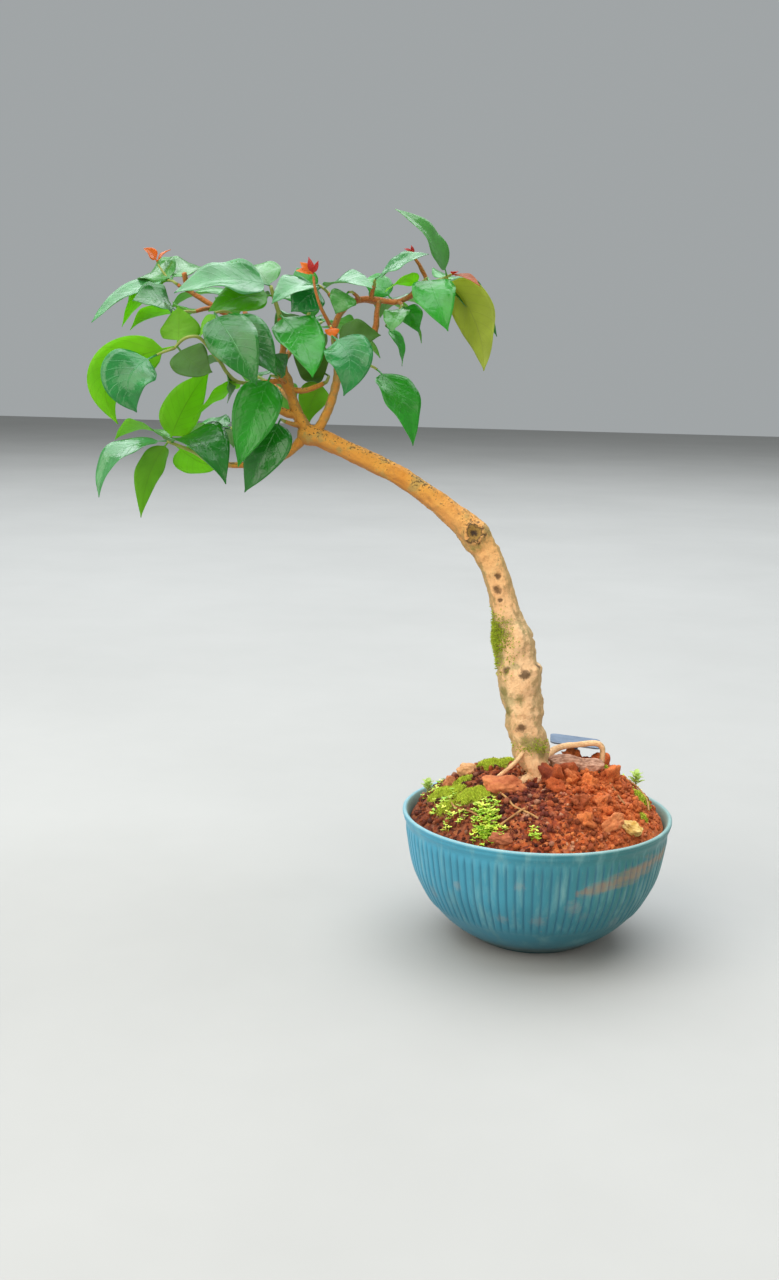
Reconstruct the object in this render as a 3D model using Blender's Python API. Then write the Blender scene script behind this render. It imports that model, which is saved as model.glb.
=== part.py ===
"""Surinam cherry bonsai in a ribbed plastic bowl.

Lengths are in millimetres and become metres where a mesh is made. The frame has +Z up, +X to the
right and -Y towards the viewer. Its origin is the centre of the underside of the pot's foot.
"""
import math
from collections import namedtuple

import bmesh
import bpy
from mathutils import Euler, Vector, noise

MM = 0.001
GAP = 0.3

# Pot: a thin moulded bowl. Each outline is a run of (height, radius), from the foot up.
FLOOR = 2.6
FLOOR_CORNER = 14.4
RIB_COUNT = 96
RIB_HEIGHT = 0.8
FOOT = [(0, 36), (2.6, 36.5), (3.6, 40.5)]
LOWER_WALL = [(9, 50.6), (16, 59)]
RIBBED_WALL = [(24, 66.2), (28, 69), (46, 77.6), (69, 82.1), (73, 82.6)]
LIP = [(75.2, 83.2), (77.4, 85), (80.8, 85), (82, 83.6), (81, 81.6)]
INNER_WALL = [(75, 80.6), (66, 79.5), (46, 75.4), (28, 66.8), (9, 48.4)]
DRAIN_COUNT = 6
DRAIN_RADIUS = 4.0
DRAIN_CIRCLE = 22.0

# Soil: a mound that rises from the wall of the pot to the foot of the trunk. Each hump or dip in it
# is (x, y, spread, rise).
SOIL_SIDES = 40
SOIL_GAP = 0.45
SOIL_EDGE = 77.0
SOIL_REACH = 79.0
SOIL_RISE = 28.0
SOIL_STEEPNESS = 3.0
SOIL_RINGS = [73, 66, 58, 50, 42, 34, 26, 18, 10]
HUMPS = [(42, 20, 22, 6.0), (-31, 16, 14, 4.5), (-6, -30, 14, -2.0), (30, -40, 14, 2.0)]

# Tree: each piece of wood is a run of (x, y, z, radius).
TRUNK = [
    (4, -6, 72, 5), (3.5, -8, 90, 5), (2.5, -7, 102, 5.6), (0.5, -5, 109, 7), (-2.6, -3, 115, 9.4),
    (-5, -1, 121, 11.2), (-6.6, 0, 128, 11.4), (-9.3, 0, 137, 11.4), (-11.3, 0, 151, 12.2),
    (-13.6, 0, 164, 13.2), (-15, 0, 172, 13.7), (-17, 0, 181, 12.3), (-19, 0, 192, 12.8),
    (-21, 0, 200, 10.6), (-24.6, 0, 213, 8.6), (-30.7, 0, 231.7, 8), (-37.6, 0, 246.2, 8.2),
    (-43, 0, 254, 9.4), (-48.5, 0, 260.5, 8.8), (-59.3, 0, 269.1, 7.4), (-74.2, 0, 280.1, 6.4),
    (-91.9, 0, 291.2, 6), (-109.4, 0, 299.3, 5.8), (-127, 0, 307, 5.7), (-141, 0, 313, 6),
    (-150, 0, 315.5, 6.4), (-155, 0, 317, 4.6),
]
ROOTS = {
    "root_arching": [(0, 2, 104, 3.4), (6, 12, 115, 2.6), (14, 17, 119.5, 2.0), (26, 20, 121, 1.8),
                     (36, 21, 122, 1.9), (40.5, 21, 119, 1.8), (40.5, 20, 110, 1.7), (39, 18, 98, 1.6)],
    "root_side": [(-6, -6, 128, 1.9), (-10, -10, 122, 1.6), (-14.5, -12.5, 116, 1.4), (-21, -13.5, 110, 1.3),
                  (-28, -14, 103, 1.2), (-33, -14, 95, 1.1)],
    "root_left": [(-2, -4, 106, 5), (-9, -10.6, 102.4, 3.8), (-17, -14.4, 95.5, 2.7), (-26, -18, 86, 1.8)],
    "root_right": [(2, -4, 106, 5.2), (10, -9, 101, 3.6), (17, -12, 94, 2.6), (25, -16, 84, 1.8)],
    "root_front": [(2, -8, 105, 4.6), (3, -16, 100, 3.4), (6, -24, 92, 2.2), (8, -32, 82, 1.8)],
    "root_back": [(-2, 0, 106, 5), (-6, 10, 103, 3.8), (-12, 20, 96, 2.6), (-18, 30, 86, 1.8)],
}
BRANCHES = {
    "leader": [(-149, 0, 316, 4.6), (-154, 0, 323, 4.0), (-158, -1, 332, 3.4), (-161, -1, 341, 3.2),
               (-164, 0, 348, 4.2), (-166, 0, 353, 3.4)],
    "cut_stub": [(-156, 0, 327, 2.6), (-162, -3, 328, 2.6), (-167, -5, 330, 2.2)],
    "leader_top": [(-164, 0, 349, 2.6), (-166, -1, 360, 2.3), (-165, -2, 371, 2.0), (-167, -4, 385, 1.7)],
    "top_twig": [(-165, -2, 368, 1.6), (-159, 4, 377, 1.5), (-153, 10, 386, 1.3)],
    "left_limb": [(-164, 0, 349, 2.6), (-174, 2, 363, 2.4), (-187, 2, 377, 2.1), (-198, 0, 385, 1.9),
                  (-208, 0, 391, 1.7), (-217, 2, 396, 1.6), (-225, 2, 401.5, 1.6), (-227, -1, 411, 1.6)],
    "left_tip_twig": [(-224, 3, 400, 1.4), (-228, 0, 402, 1.2), (-231, -1, 404, 1.1)],
    "left_low_twig": [(-206, 0, 390, 1.4), (-211, -8, 390, 1.3), (-217, -13, 388, 1.2)],
    "left_back_twig": [(-187, 2, 377, 1.6), (-192, 16, 386, 1.5), (-196, 28, 392, 1.3)],
    "front_twig": [(-180, 2, 370, 1.6), (-186, -12, 380, 1.4), (-190, -24, 385, 1.2)],
    "arch_twig": [(-164, 0, 348, 2.0), (-172, -6, 347, 1.7), (-180, -12, 346, 1.4)],
    "hanging_twig": [(-163, 0, 345, 2.0), (-165, -7, 349, 1.5), (-167, -11, 350, 1.3)],
    "low_limb": [(-152, 0, 314, 3.4), (-159, -2, 306, 2.7), (-168, -5, 300, 2.4), (-180, -8, 297, 2.1),
                 (-193, -12, 296, 1.8), (-206, -14, 297, 1.5)],
    "low_front_twig": [(-155, -1, 321, 2.0), (-159, -7, 322, 1.4), (-162, -12, 323.5, 1.2)],
    "low_back_twig": [(-176, -7, 298, 1.8), (-184, 6, 302, 1.5), (-192, 20, 308, 1.3)],
    "right_limb": [(-146, 0, 315, 4), (-141, 0, 323, 3.0), (-135, -3, 336, 2.7), (-131, -7, 352, 2.4),
                   (-132, -9, 367, 2.2), (-133, -9, 379, 2.0), (-130, -7, 388, 1.9), (-124, -3, 395, 1.8),
                   (-116, -1, 397.5, 1.7), (-107, 0, 397, 1.7), (-97, -2, 396, 1.6), (-89, -4, 399, 1.5),
                   (-84, -6, 404, 1.3)],
    "inner_twig": [(-160, -1, 342, 1.9), (-152, 1, 342, 1.7), (-145, 3, 344.5, 1.5), (-141, 4, 346.5, 1.4)],
    "fold_twig": [(-131, -7, 354, 1.6), (-130, -15, 362, 1.3), (-130, -22, 368, 1.2)],
    "lone_twig": [(-132, -7, 351, 1.6), (-124, -8, 353, 1.3), (-116, -10, 356, 1.2)],
    "red_twig": [(-132, -9, 376, 1.4), (-135, -19, 383, 1.2), (-139, -25, 392, 1.0), (-142, -27, 402, 0.9),
                 (-143, -27, 409, 0.8)],
    "middle_twig": [(-130, -7, 388, 1.6), (-134, -2, 395, 1.4), (-138, 2, 400, 1.2)],
    "light_twig": [(-119, -2, 396.5, 1.5), (-120, -7, 399, 1.2), (-121.5, -10, 400.5, 1.0)],
    "right_back_twig": [(-124, -3, 395, 1.6), (-118, 12, 397, 1.4), (-112, 26, 396, 1.3)],
    "knob_twig": [(-107, 0, 397, 1.6), (-108, -3, 390, 1.6), (-108, -5, 383, 1.9), (-109, -6, 378, 2.2)],
    "high_twig": [(-112, -1, 397, 1.5), (-111, -2, 402, 1.3), (-110, -3, 405, 1.2)],
    "drop_twig": [(-95, -2, 396, 1.4), (-93, -6, 395, 1.2), (-92, -9, 394, 1.1)],
    "sprout_twig": [(-88, -4, 400, 1.3), (-79, -3, 408, 1.3), (-82, -3, 416, 1.2), (-86, -3, 422, 0.9)],
    "outer_twig": [(-92, -3, 397.5, 1.5), (-83, 1, 402, 1.3), (-74, 1, 408, 1.2)],
    "back_twig": [(-166, -1, 358, 2.0), (-162, 16, 368, 1.7), (-156, 32, 376, 1.4)],
    "back_low_twig": [(-160, -1, 336, 2.0), (-168, 16, 340, 1.7), (-178, 32, 344, 1.4)],
}

# Leaves: the twig that a leaf grows on, where along it (0 is the twig's start and 1 its end), where
# its tip is, the way its upper face looks, its width, how far its midrib arches above the line from
# base to tip, how far the midrib's middle is drawn aside, and how far its halves fold up.
Leaf = namedtuple("Leaf", "twig at tip face width arch bow fold", defaults=(5, (0, 0, 0), 12))
Spray = namedtuple("Spray", "branch twigs leaves")

SPRAYS = {
    "spray_left_tip": Spray("left_tip_twig", [[(-234, -1, 406), (-238, 0, 407)],
                                              [(-237, 0, 407), (-241, 1, 412), (-244, 2, 416)]], [
        Leaf(0, 0.4, (-260, 26, 404), (-0.1, -0.6, 0.75), 26, 9),
        Leaf(0, 1.0, (-279, -22, 380), (-0.2, -0.25, 0.95), 22, 4),
        Leaf(0, 0.9, (-266, -2, 378), (-0.75, 0.5, 0.4), 16, 5),
        Leaf(0, 0.7, (-273, 34, 392), (-0.1, 0.3, 0.95), 22, 4),
        Leaf(0, 0.75, (-222, 44, 413), (0.1, -0.5, 0.8), 24, 7),
    ]),
    "spray_left_low": Spray("left_low_twig", [[(-221, -16, 388), (-226, -18, 387)]], [
        Leaf(0, 1.0, (-250, -34, 393), (-0.1, -0.65, 0.75), 27, 6),
        Leaf(0, 0.9, (-257, -16, 376), (-0.35, 0.45, 0.8), 20, 5),
        Leaf(0, 0.4, (-230, 9, 384), (0.1, 0.5, 0.85), 21, 4),
    ]),
    "spray_arch": Spray("arch_twig", [[(-190, -20, 347), (-195, -25, 352), (-198, -29, 358), (-202, -34, 364),
                                       (-208, -39, 372), (-213, -41, 373), (-218, -42, 371),
                                       (-223, -42, 366)],
                                      [(-223, -42, 366), (-228, -45, 364), (-232, -48, 362)]], [
        Leaf(0, 0.12, (-216, -24, 324), (0.2, 0.3, 0.9), 18, 4),
        Leaf(0, 0.35, (-196, -20, 334), (0.95, -0.1, 0.2), 12, 2),
        Leaf(0, 0.98, (-257, -44, 321), (-0.2, 0.95, 0.2), 30, 0, (-21, -2, 6)),
        Leaf(0, 0.97, (-197, -56, 353), (0.1, -0.85, 0.4), 24, 3, (0, 0, -4)),
        Leaf(0, 0.96, (-222, -36, 390), (0.1, 0.95, 0.1), 26, 2),
        Leaf(1, 1.0, (-241, -60, 329), (-0.3, -0.9, 0.35), 36, 2, (-8, -5, 2), 14),
    ]),
    "spray_low": Spray("low_limb", [[(-217, -15, 303), (-226, -17, 307), (-234, -18, 310)]], [
        Leaf(0, 1.0, (-269, -45, 277), (-0.4, -0.5, 0.8), 25, 0, (-9, -3, 9)),
        Leaf(0, 0.9, (-275, 10, 308), (-0.2, 0.4, 0.9), 25, 9),
        Leaf(0, 0.97, (-252, -14, 262), (-0.6, 0.7, 0.3), 19, 3, (-2, 0, 2), 18),
        Leaf(0, 0.85, (-206, 2, 294), (0.1, 0.9, 0.4), 28, 1, (0, 0, -4)),
        Leaf(0, 0.92, (-190, -52, 288), (0.35, -0.55, 0.75), 36, 14, (0, 0, 3)),
        Leaf(0, 0.95, (-208, -14, 354), (-0.3, 0.9, 0.2), 25, 4, (-2, 0, 0)),
    ]),
    "spray_front": Spray("front_twig", [[(-195, -31, 388), (-200, -37, 387)]], [
        Leaf(0, 1.0, (-170, -60, 346), (0.3, -0.9, 0.25), 31, 5),
        Leaf(0, 0.4, (-161, -44, 351), (0.2, -0.9, 0.3), 26, 4),
        Leaf(0, 0.9, (-208, -40, 373), (-0.3, -0.8, 0.5), 8, 1),
    ]),
    "spray_hanging": Spray("hanging_twig", [[(-168, -14, 350.5), (-170, -18, 351)]], [
        Leaf(0, 1.0, (-186, -36, 297), (0.1, -0.95, 0.25), 29, 5),
        Leaf(0, 0.5, (-158, -27, 364), (0.2, -0.8, 0.5), 15, 2),
    ]),
    "spray_low_front": Spray("low_front_twig", [[(-163, -15, 324.5), (-164, -17, 325)]], [
        Leaf(0, 1.0, (-184, -26, 281), (-0.1, -0.9, 0.4), 29, 6, (3, 0, 0)),
    ]),
    "spray_low_back": Spray("low_back_twig", [[(-199, 30, 313), (-206, 38, 316)]], [
        Leaf(0, 1.0, (-246, 62, 304), (-0.2, -0.1, 0.95), 26, 6),
        Leaf(0, 0.8, (-214, 82, 300), (-0.1, 0.6, 0.75), 27, 6),
        Leaf(0, 0.5, (-178, 58, 298), (0.3, 0.5, 0.75), 26, 6),
    ]),
    "spray_crown": Spray("leader_top", [[(-169, -6, 393), (-171, -8, 400), (-172, -8, 404)]], [
        Leaf(0, 1.0, (-226, -30, 398), (0, -0.7, 0.7), 33, 8),
        Leaf(0, 0.7, (-208, -18, 388), (0.1, -0.7, 0.7), 27, 5),
        Leaf(0, 0.9, (-192, 22, 416), (0, -0.5, 0.85), 24, 5),
        Leaf(0, 0.15, (-140, -46, 351), (0.3, -0.9, 0.3), 29, 6, (4, 0, -1)),
    ]),
    "spray_top": Spray("top_twig", [[(-151, 12, 393), (-150, 12, 399)]], [
        Leaf(0, 1.0, (-161, 20, 416), (0, -0.9, 0.4), 17, 3),
        Leaf(0, 0.7, (-178, 34, 402), (-0.1, -0.5, 0.8), 24, 4),
    ]),
    "spray_middle": Spray("middle_twig", [[(-141, 2, 403), (-144, 0, 405)]], [
        Leaf(0, 1.0, (-168, -26, 393), (0, -0.35, 0.9), 24, 5),
        Leaf(0, 0.6, (-109, -18, 403), (0, -0.35, 0.9), 24, 5),
        Leaf(0, 0.8, (-160, -5, 389), (0.1, -0.85, 0.4), 26, 2),
    ]),
    "spray_light": Spray("light_twig", [[(-123, -12, 401), (-124, -14, 401)]], [
        Leaf(0, 1.0, (-131, -18, 388), (0.1, -0.85, 0.4), 18, 2),
    ]),
    "spray_fold": Spray("fold_twig", [[(-131, -27, 372), (-131, -31, 375)]], [
        Leaf(0, 1.0, (-121, -50, 341), (0.3, -0.9, 0.3), 29, 5, (6, 0, 2)),
        Leaf(0, 0.5, (-103, -24, 376), (0.1, -0.75, 0.6), 21, 3),
    ]),
    "spray_lone": Spray("lone_twig", [[(-110, -12, 358), (-106, -14, 356)]], [
        Leaf(0, 1.0, (-82, -28, 312), (0.6, -0.7, 0.4), 26, 8),
    ]),
    "spray_inner": Spray("inner_twig", [[(-139, 5, 348), (-138, 6, 351)]], [
        Leaf(0, 1.0, (-162, 6, 373), (0.2, 0.9, 0.3), 26, 3, (0, 0, -4)),
        Leaf(0, 0.4, (-151, 14, 322), (0, 0.9, 0.3), 20, 4, (-4, 0, 0)),
    ]),
    "spray_high": Spray("high_twig", [[(-110, -4, 407), (-109, -5, 409)]], [
        Leaf(0, 1.0, (-76, -22, 423), (0, -0.6, 0.8), 17, 3),
    ]),
    "spray_drop": Spray("drop_twig", [[(-91.5, -11, 393.5), (-91, -13, 393)],
                                      [(-92, -11, 393.5), (-97, -5, 388), (-103, 1, 382)]], [
        Leaf(0, 1.0, (-96, -28, 378), (-0.3, -0.9, 0.3), 17, 3),
        Leaf(0, 0.5, (-82, -6, 378), (0.2, -0.75, 0.6), 15, 3),
        Leaf(1, 1.0, (-93, 6, 358), (0.8, -0.5, 0.4), 13, 4),
    ]),
    "spray_right": Spray("right_limb", [[(-80, -9, 408), (-77, -12, 410)]], [
        Leaf(0, 1.0, (-62, -42, 379), (0.1, -0.85, 0.5), 26, 6, (-1, 0, 0)),
        Leaf(0, 0.4, (-101, -24, 401), (0, 0.5, 0.85), 20, 4),
    ]),
    "spray_outer": Spray("outer_twig", [[(-69, -3, 410), (-64, -8, 412)]], [
        Leaf(0, 0.8, (-96, -24, 448), (0.55, -0.6, 0.5), 19, 8),
        Leaf(0, 0.75, (-41, -36, 357), (0.5, 0.8, 0.3), 30, 6, (3, 0, -1)),
        Leaf(0, 0.5, (-36, 12, 377), (0.6, -0.6, 0.5), 24, 6),
        Leaf(0, 0.3, (-58, 44, 404), (0.2, 0.1, 0.95), 24, 5),
    ]),
    "spray_back": Spray("back_twig", [[(-153, 42, 381), (-150, 52, 384)]], [
        Leaf(0, 1.0, (-136, 88, 370), (0.1, 0.4, 0.9), 27, 7),
        Leaf(0, 0.9, (-186, 80, 376), (-0.3, 0.3, 0.9), 27, 7),
        Leaf(0, 0.5, (-112, 54, 362), (0.5, 0.2, 0.8), 26, 7),
        Leaf(0, 0.7, (-158, 48, 416), (-0.5, -0.4, 0.7), 25, 5),
        Leaf(0, 0.3, (-160, 62, 350), (-0.2, 0.8, 0.5), 24, 6),
    ]),
    "spray_back_low": Spray("back_low_twig", [[(-186, 42, 347), (-194, 50, 350)]], [
        Leaf(0, 1.0, (-236, 66, 352), (-0.2, 0.2, 0.95), 27, 7),
        Leaf(0, 0.8, (-204, 92, 340), (-0.1, 0.6, 0.75), 27, 7),
        Leaf(0, 0.5, (-176, 72, 322), (0.4, 0.4, 0.8), 25, 7),
    ]),
    "spray_left_back": Spray("left_back_twig", [[(-200, 38, 396), (-206, 46, 398)]], [
        Leaf(0, 1.0, (-252, 56, 388), (-0.3, 0.1, 0.95), 27, 7),
        Leaf(0, 0.8, (-216, 90, 382), (-0.1, 0.4, 0.9), 27, 7),
        Leaf(0, 0.5, (-190, 66, 396), (0.3, 0.2, 0.9), 22, 5),
    ]),
    "spray_right_back": Spray("right_back_twig", [[(-108, 36, 397), (-102, 44, 398)]], [
        Leaf(0, 1.0, (-70, 72, 384), (0.3, 0.3, 0.9), 27, 7),
        Leaf(0, 0.8, (-116, 84, 388), (0.1, 0.4, 0.9), 26, 7),
        Leaf(0, 0.5, (-84, 36, 372), (0.5, 0.1, 0.8), 24, 6),
        Leaf(0, 0.9, (-124, 50, 410), (-0.2, -0.4, 0.9), 22, 5),
    ]),
}

# Young growth, orange to red. Each starts at a point just clear of what it grows on.
SHOOTS = {
    "young_leaf_left": Spray((-244.2, 2, 416.8), [[(-244.6, 2, 418)]], [
        Leaf(0, 0.8, (-252, -1, 425), (0.5, -0.4, 0.8), 10, 1),
        Leaf(0, 0.8, (-237, 6, 425), (-0.4, -0.5, 0.8), 6, 1),
    ]),
    "bud_centre": Spray((-143.2, -27, 409.6), [[(-143.6, -27, 411)]], [
        Leaf(0, 0.7, (-153, -29, 412), (-0.1, -0.7, 0.7), 5.5, 1),
        Leaf(0, 0.8, (-151, -27, 417), (-0.3, -0.7, 0.5), 5, 1),
        Leaf(0, 0.9, (-146, -27, 420), (0.1, -0.9, 0.2), 4, 1),
        Leaf(0, 0.7, (-140, -29, 418), (0.3, -0.7, 0.3), 3, 1),
    ]),
    "young_leaf_centre": Spray((-133.4, -22, 381), [[(-132.6, -23, 380)]], [
        Leaf(0, 0.8, (-131, -26, 374), (0.1, -0.95, 0.2), 9, 1),
    ]),
    "sprout_red": Spray((-86.3, -3, 422.6), [[(-87, -3, 424)]], [
        Leaf(0, 0.8, (-92, -4, 427), (0.1, -0.8, 0.6), 2.6, 1),
        Leaf(0, 0.8, (-88, -4, 429), (0.1, -0.9, 0.3), 2.4, 1),
    ]),
    "young_leaf_outer": Spray((-63.6, -8.6, 412.2), [[(-62, -10, 412.6)]], [
        Leaf(0, 0.9, (-45, -27, 405), (0.1, -0.6, 0.8), 8, 2),
        Leaf(0, 0.8, (-59, -22, 413), (0, -0.7, 0.7), 4.5, 1),
    ]),
}

# Weeds that grow in the soil: where the stem leaves the soil, its height and its number of leaves.
Seedling = namedtuple("Seedling", "foot height leaves reach")
SEEDLINGS = {
    "seedling_left": Seedling((-71, 16, 0), 9, 4, 6),
    "seedling_right": Seedling((63, 22, 0), 11, 4, 7),
}

# Stones and chips on the soil: centre, size along each axis, turn in degrees, and a number that
# picks the shape. The height of a centre is measured from the soil's surface there.
Stone = namedtuple("Stone", "centre size turn shape")
STONES = {
    "stone_flat": Stone((-20, -24, 1.5), (24, 14, 9), (14, 4, 8), 3),
    "stone_pale": Stone((-45, 6, 1.5), (12, 9, 8), (0, 10, 20), 5),
    "stone_small": Stone((-56, -2, 1.0), (7, 6, 8), (0, 0, 50), 8),
    "chip_orange": Stone((46, -48, 1.5), (13, 9, 9), (10, -20, 30), 11),
    "chip_yellow": Stone((58, -42, 1.5), (12, 9, 7), (0, 15, -25), 14),
    "stone_front": Stone((-20, -69, 0.5), (12, 7, 6), (10, 0, 0), 17),
    "bark_chip": Stone((22, 6, 2.0), (30, 13, 8), (0, -6, -8), 21),
}

# Tag: a plate that lies behind the arching root, on a stake that stands in the soil.
TAG_LENGTH = 33.0
TAG_DEPTH = 23.0
TAG_THICKNESS = 1.2
TAG_CENTRE = (23.5, 38, 118.2)
TAG_SLOPE = 5.0
STAKE_WIDTH = 7.0
STAKE_PLACE = (22, 46)
STAKE_FOOT = 84.0
LEAF_THICKNESS = 0.75
STALK_LENGTH = 4.0
STALK_SHARE = 0.12
STALK_HALF = 0.65
STALK_THICKNESS = 1.2
TIP_HALF = 0.4
# Stations along a blade from its base (0) to its tip (1). A small leaf has fewer.
BLADE_STATIONS = (0.07, 0.34, 0.7, 1.0)
SMALL_STATIONS = (0.4, 1.0)
SMALL_WIDTH = 11.0
TWIG_SIDES = 5
TWIG_STEP = 10.0
BRANCH_STEP = 12.0
WOOD_SIDES = 5


def material(name, colour, roughness):
    """Make a Principled material from a linear colour."""
    made = bpy.data.materials.new(name)
    made.use_nodes = True
    shader = made.node_tree.nodes["Principled BSDF"]
    shader.inputs["Base Color"].default_value = (*colour, 1)
    shader.inputs["Roughness"].default_value = roughness
    return made


def add_mesh(name, points, faces, finish=None):
    """Make an object from points in millimetres, with its faces turned outwards."""
    mesh = bpy.data.meshes.new(name)
    mesh.from_pydata([Vector(point) * MM for point in points], [], faces)
    shape = bmesh.new()
    shape.from_mesh(mesh)
    bmesh.ops.recalc_face_normals(shape, faces=shape.faces)
    bmesh.ops.triangulate(shape, faces=[face for face in shape.faces if len(face.verts) > 4])
    shape.to_mesh(mesh)
    shape.free()
    made = bpy.data.objects.new(name, mesh)
    bpy.context.scene.collection.objects.link(made)
    if finish:
        mesh.materials.append(finish)
    return made


def combine(target, others, operation="UNION"):
    """Join others to target, or cut them from it, in one Boolean, and remove them."""
    group = bpy.data.collections.new("operands")
    bpy.context.scene.collection.children.link(group)
    for other in others:
        bpy.context.scene.collection.objects.unlink(other)
        group.objects.link(other)
    cut = target.modifiers.new("combine", "BOOLEAN")
    cut.operation = operation
    cut.solver = "EXACT"
    cut.operand_type = "COLLECTION"
    cut.collection = group
    evaluated = target.evaluated_get(bpy.context.evaluated_depsgraph_get())
    result = bpy.data.meshes.new_from_object(evaluated)
    target.modifiers.clear()
    target.data = result
    for other in others:
        bpy.data.objects.remove(other)
    bpy.data.collections.remove(group)
    return target


def keep_largest(target):
    """Keep the largest body alone: drop the scraps of a cut, and fill a hollow that a union closes."""
    shape = bmesh.new()
    shape.from_mesh(target.data)
    left = set(shape.verts)
    islands = []
    while left:
        queue = [left.pop()]
        island = set(queue)
        while queue:
            vert = queue.pop()
            for edge in vert.link_edges:
                other = edge.other_vert(vert)
                if other in left:
                    left.remove(other)
                    island.add(other)
                    queue.append(other)
        islands.append(island)
    islands.sort(key=len)
    scraps = [vert for island in islands[:-1] for vert in island]
    bmesh.ops.delete(shape, geom=scraps, context="VERTS")
    shape.to_mesh(target.data)
    shape.free()
    return target


def smooth_run(points, step):
    """Read points about step apart from a smooth curve through the given ones."""
    rows = [Vector(point) for point in points]
    ends = [rows[0] * 2 - rows[1]] + rows + [rows[-1] * 2 - rows[-2]]
    run = []
    for before, start, end, after in zip(ends, ends[1:], ends[2:], ends[3:]):
        count = max(1, round((end - start).length / step))
        for index in range(count):
            t = index / count
            run.append(0.5 * (2 * start + (end - before) * t
                              + (2 * before - 5 * start + 4 * end - after) * t * t
                              + (3 * start - before - 3 * end + after) * t * t * t))
    run.append(rows[-1])
    return run


def frames_along(run):
    """Give each point of a run its place, its direction and a normal that doesn't spin."""
    places = [Vector(row[:3]) for row in run]
    frames = []
    normal = None
    for index, place in enumerate(places):
        before = places[max(index - 1, 0)]
        after = places[min(index + 1, len(places) - 1)]
        direction = (after - before).normalized()
        if normal is None:
            normal = direction.orthogonal()
        normal = (normal - direction * normal.dot(direction)).normalized()
        frames.append((place, direction, normal))
    return frames


def ring_faces(points, rings):
    """Bridge rings of points, which may double or halve their count from one to the next."""
    faces = []
    starts = []
    for ring in rings:
        starts.append(len(points))
        points.extend(ring)
    for low in range(len(rings) - 1):
        few, many = len(rings[low]), len(rings[low + 1])
        first, second = starts[low], starts[low + 1]
        if few == many:
            for side in range(few):
                after = (side + 1) % few
                faces.append((first + side, first + after, second + after, second + side))
            continue
        if few > many:
            few, many, first, second = many, few, second, first
        for side in range(few):
            after = (side + 1) % few
            middle = second + 2 * side + 1
            faces.append((first + side, second + 2 * side, middle))
            faces.append((first + side, middle, first + after))
            faces.append((first + after, middle, second + (2 * side + 2) % many))
    return faces, starts


def closed_rings(name, rings, finish=None):
    """Make a solid from a stack of rings with a flat cap at each end."""
    points = []
    faces, starts = ring_faces(points, rings)
    faces.append(tuple(range(len(rings[0]))))
    faces.append(tuple(range(starts[-1], len(points))))
    return add_mesh(name, points, faces, finish)


def tube(name, run, sides, finish=None, swell=None, spare=0.0):
    """Make a closed tube along a run of (x, y, z, radius), larger all over by spare."""
    frames = frames_along(run)
    rings = []
    for index, (place, direction, normal) in enumerate(frames):
        if index == 0:
            place = place - direction * spare
        if index == len(frames) - 1:
            place = place + direction * spare
        across = direction.cross(normal)
        ring = []
        for side in range(sides):
            angle = 2 * math.pi * side / sides
            outward = normal * math.cos(angle) + across * math.sin(angle)
            radius = run[index][3] * (swell(place, outward) if swell else 1.0) + spare
            ring.append(place + outward * radius)
        rings.append(ring)
    return closed_rings(name, rings, finish)


def circle(radius, height, count, raised=0.0):
    """Give a level ring of points, with every second point raised outwards."""
    ring = []
    for index in range(count):
        angle = 2 * math.pi * index / count
        reach = radius + (raised if index % 2 == 0 else 0.0)
        ring.append(Vector((reach * math.cos(angle), reach * math.sin(angle), height)))
    return ring


def build_pot():
    """Make the bowl with its ribs, lip, foot and drain holes."""
    finish = material("turquoise_plastic", (0.06, 0.28, 0.33), 0.45)
    half_count = RIB_COUNT // 2
    rings = [circle(radius, height, half_count) for height, radius in FOOT]
    rings += [circle(radius, height, half_count) for height, radius in LOWER_WALL]
    last = len(RIBBED_WALL) - 1
    for index, (height, radius) in enumerate(RIBBED_WALL):
        if index in (0, last):
            rings.append(circle(radius, height, RIB_COUNT))
        else:
            rings.append(circle(radius, height, 2 * RIB_COUNT, RIB_HEIGHT))
    rings += [circle(radius, height, half_count) for height, radius in LIP]
    rings += [circle(radius, height, half_count) for height, radius in INNER_WALL]
    rings.append(circle(INNER_WALL[-1][1] - FLOOR_CORNER, FLOOR, half_count))
    pot = closed_rings("pot", rings, finish)
    drains = []
    for index in range(DRAIN_COUNT):
        angle = 2 * math.pi * index / DRAIN_COUNT
        x, y = DRAIN_CIRCLE * math.cos(angle), DRAIN_CIRCLE * math.sin(angle)
        run = [(x, y, -FLOOR, DRAIN_RADIUS), (x, y, 2 * FLOOR, DRAIN_RADIUS)]
        drains.append(tube("drain", run, 12))
    return combine(pot, drains, "DIFFERENCE")


def soil_height(x, y):
    """Give the height of the soil's surface, with its humps and crumbs."""
    reach = min(math.hypot(x, y) / SOIL_REACH, 1.0)
    height = SOIL_EDGE + SOIL_RISE * (1 - reach ** SOIL_STEEPNESS)
    for hump_x, hump_y, spread, rise in HUMPS:
        away = (x - hump_x) ** 2 + (y - hump_y) ** 2
        height += rise * math.exp(-away / (2 * spread * spread))
    crumb = noise.noise(Vector((x, y, 0)) / 9) * 2.4 + noise.noise(Vector((x, y, 40)) / 4) * 1.6
    return height + crumb * (1 - reach ** 6)


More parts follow.
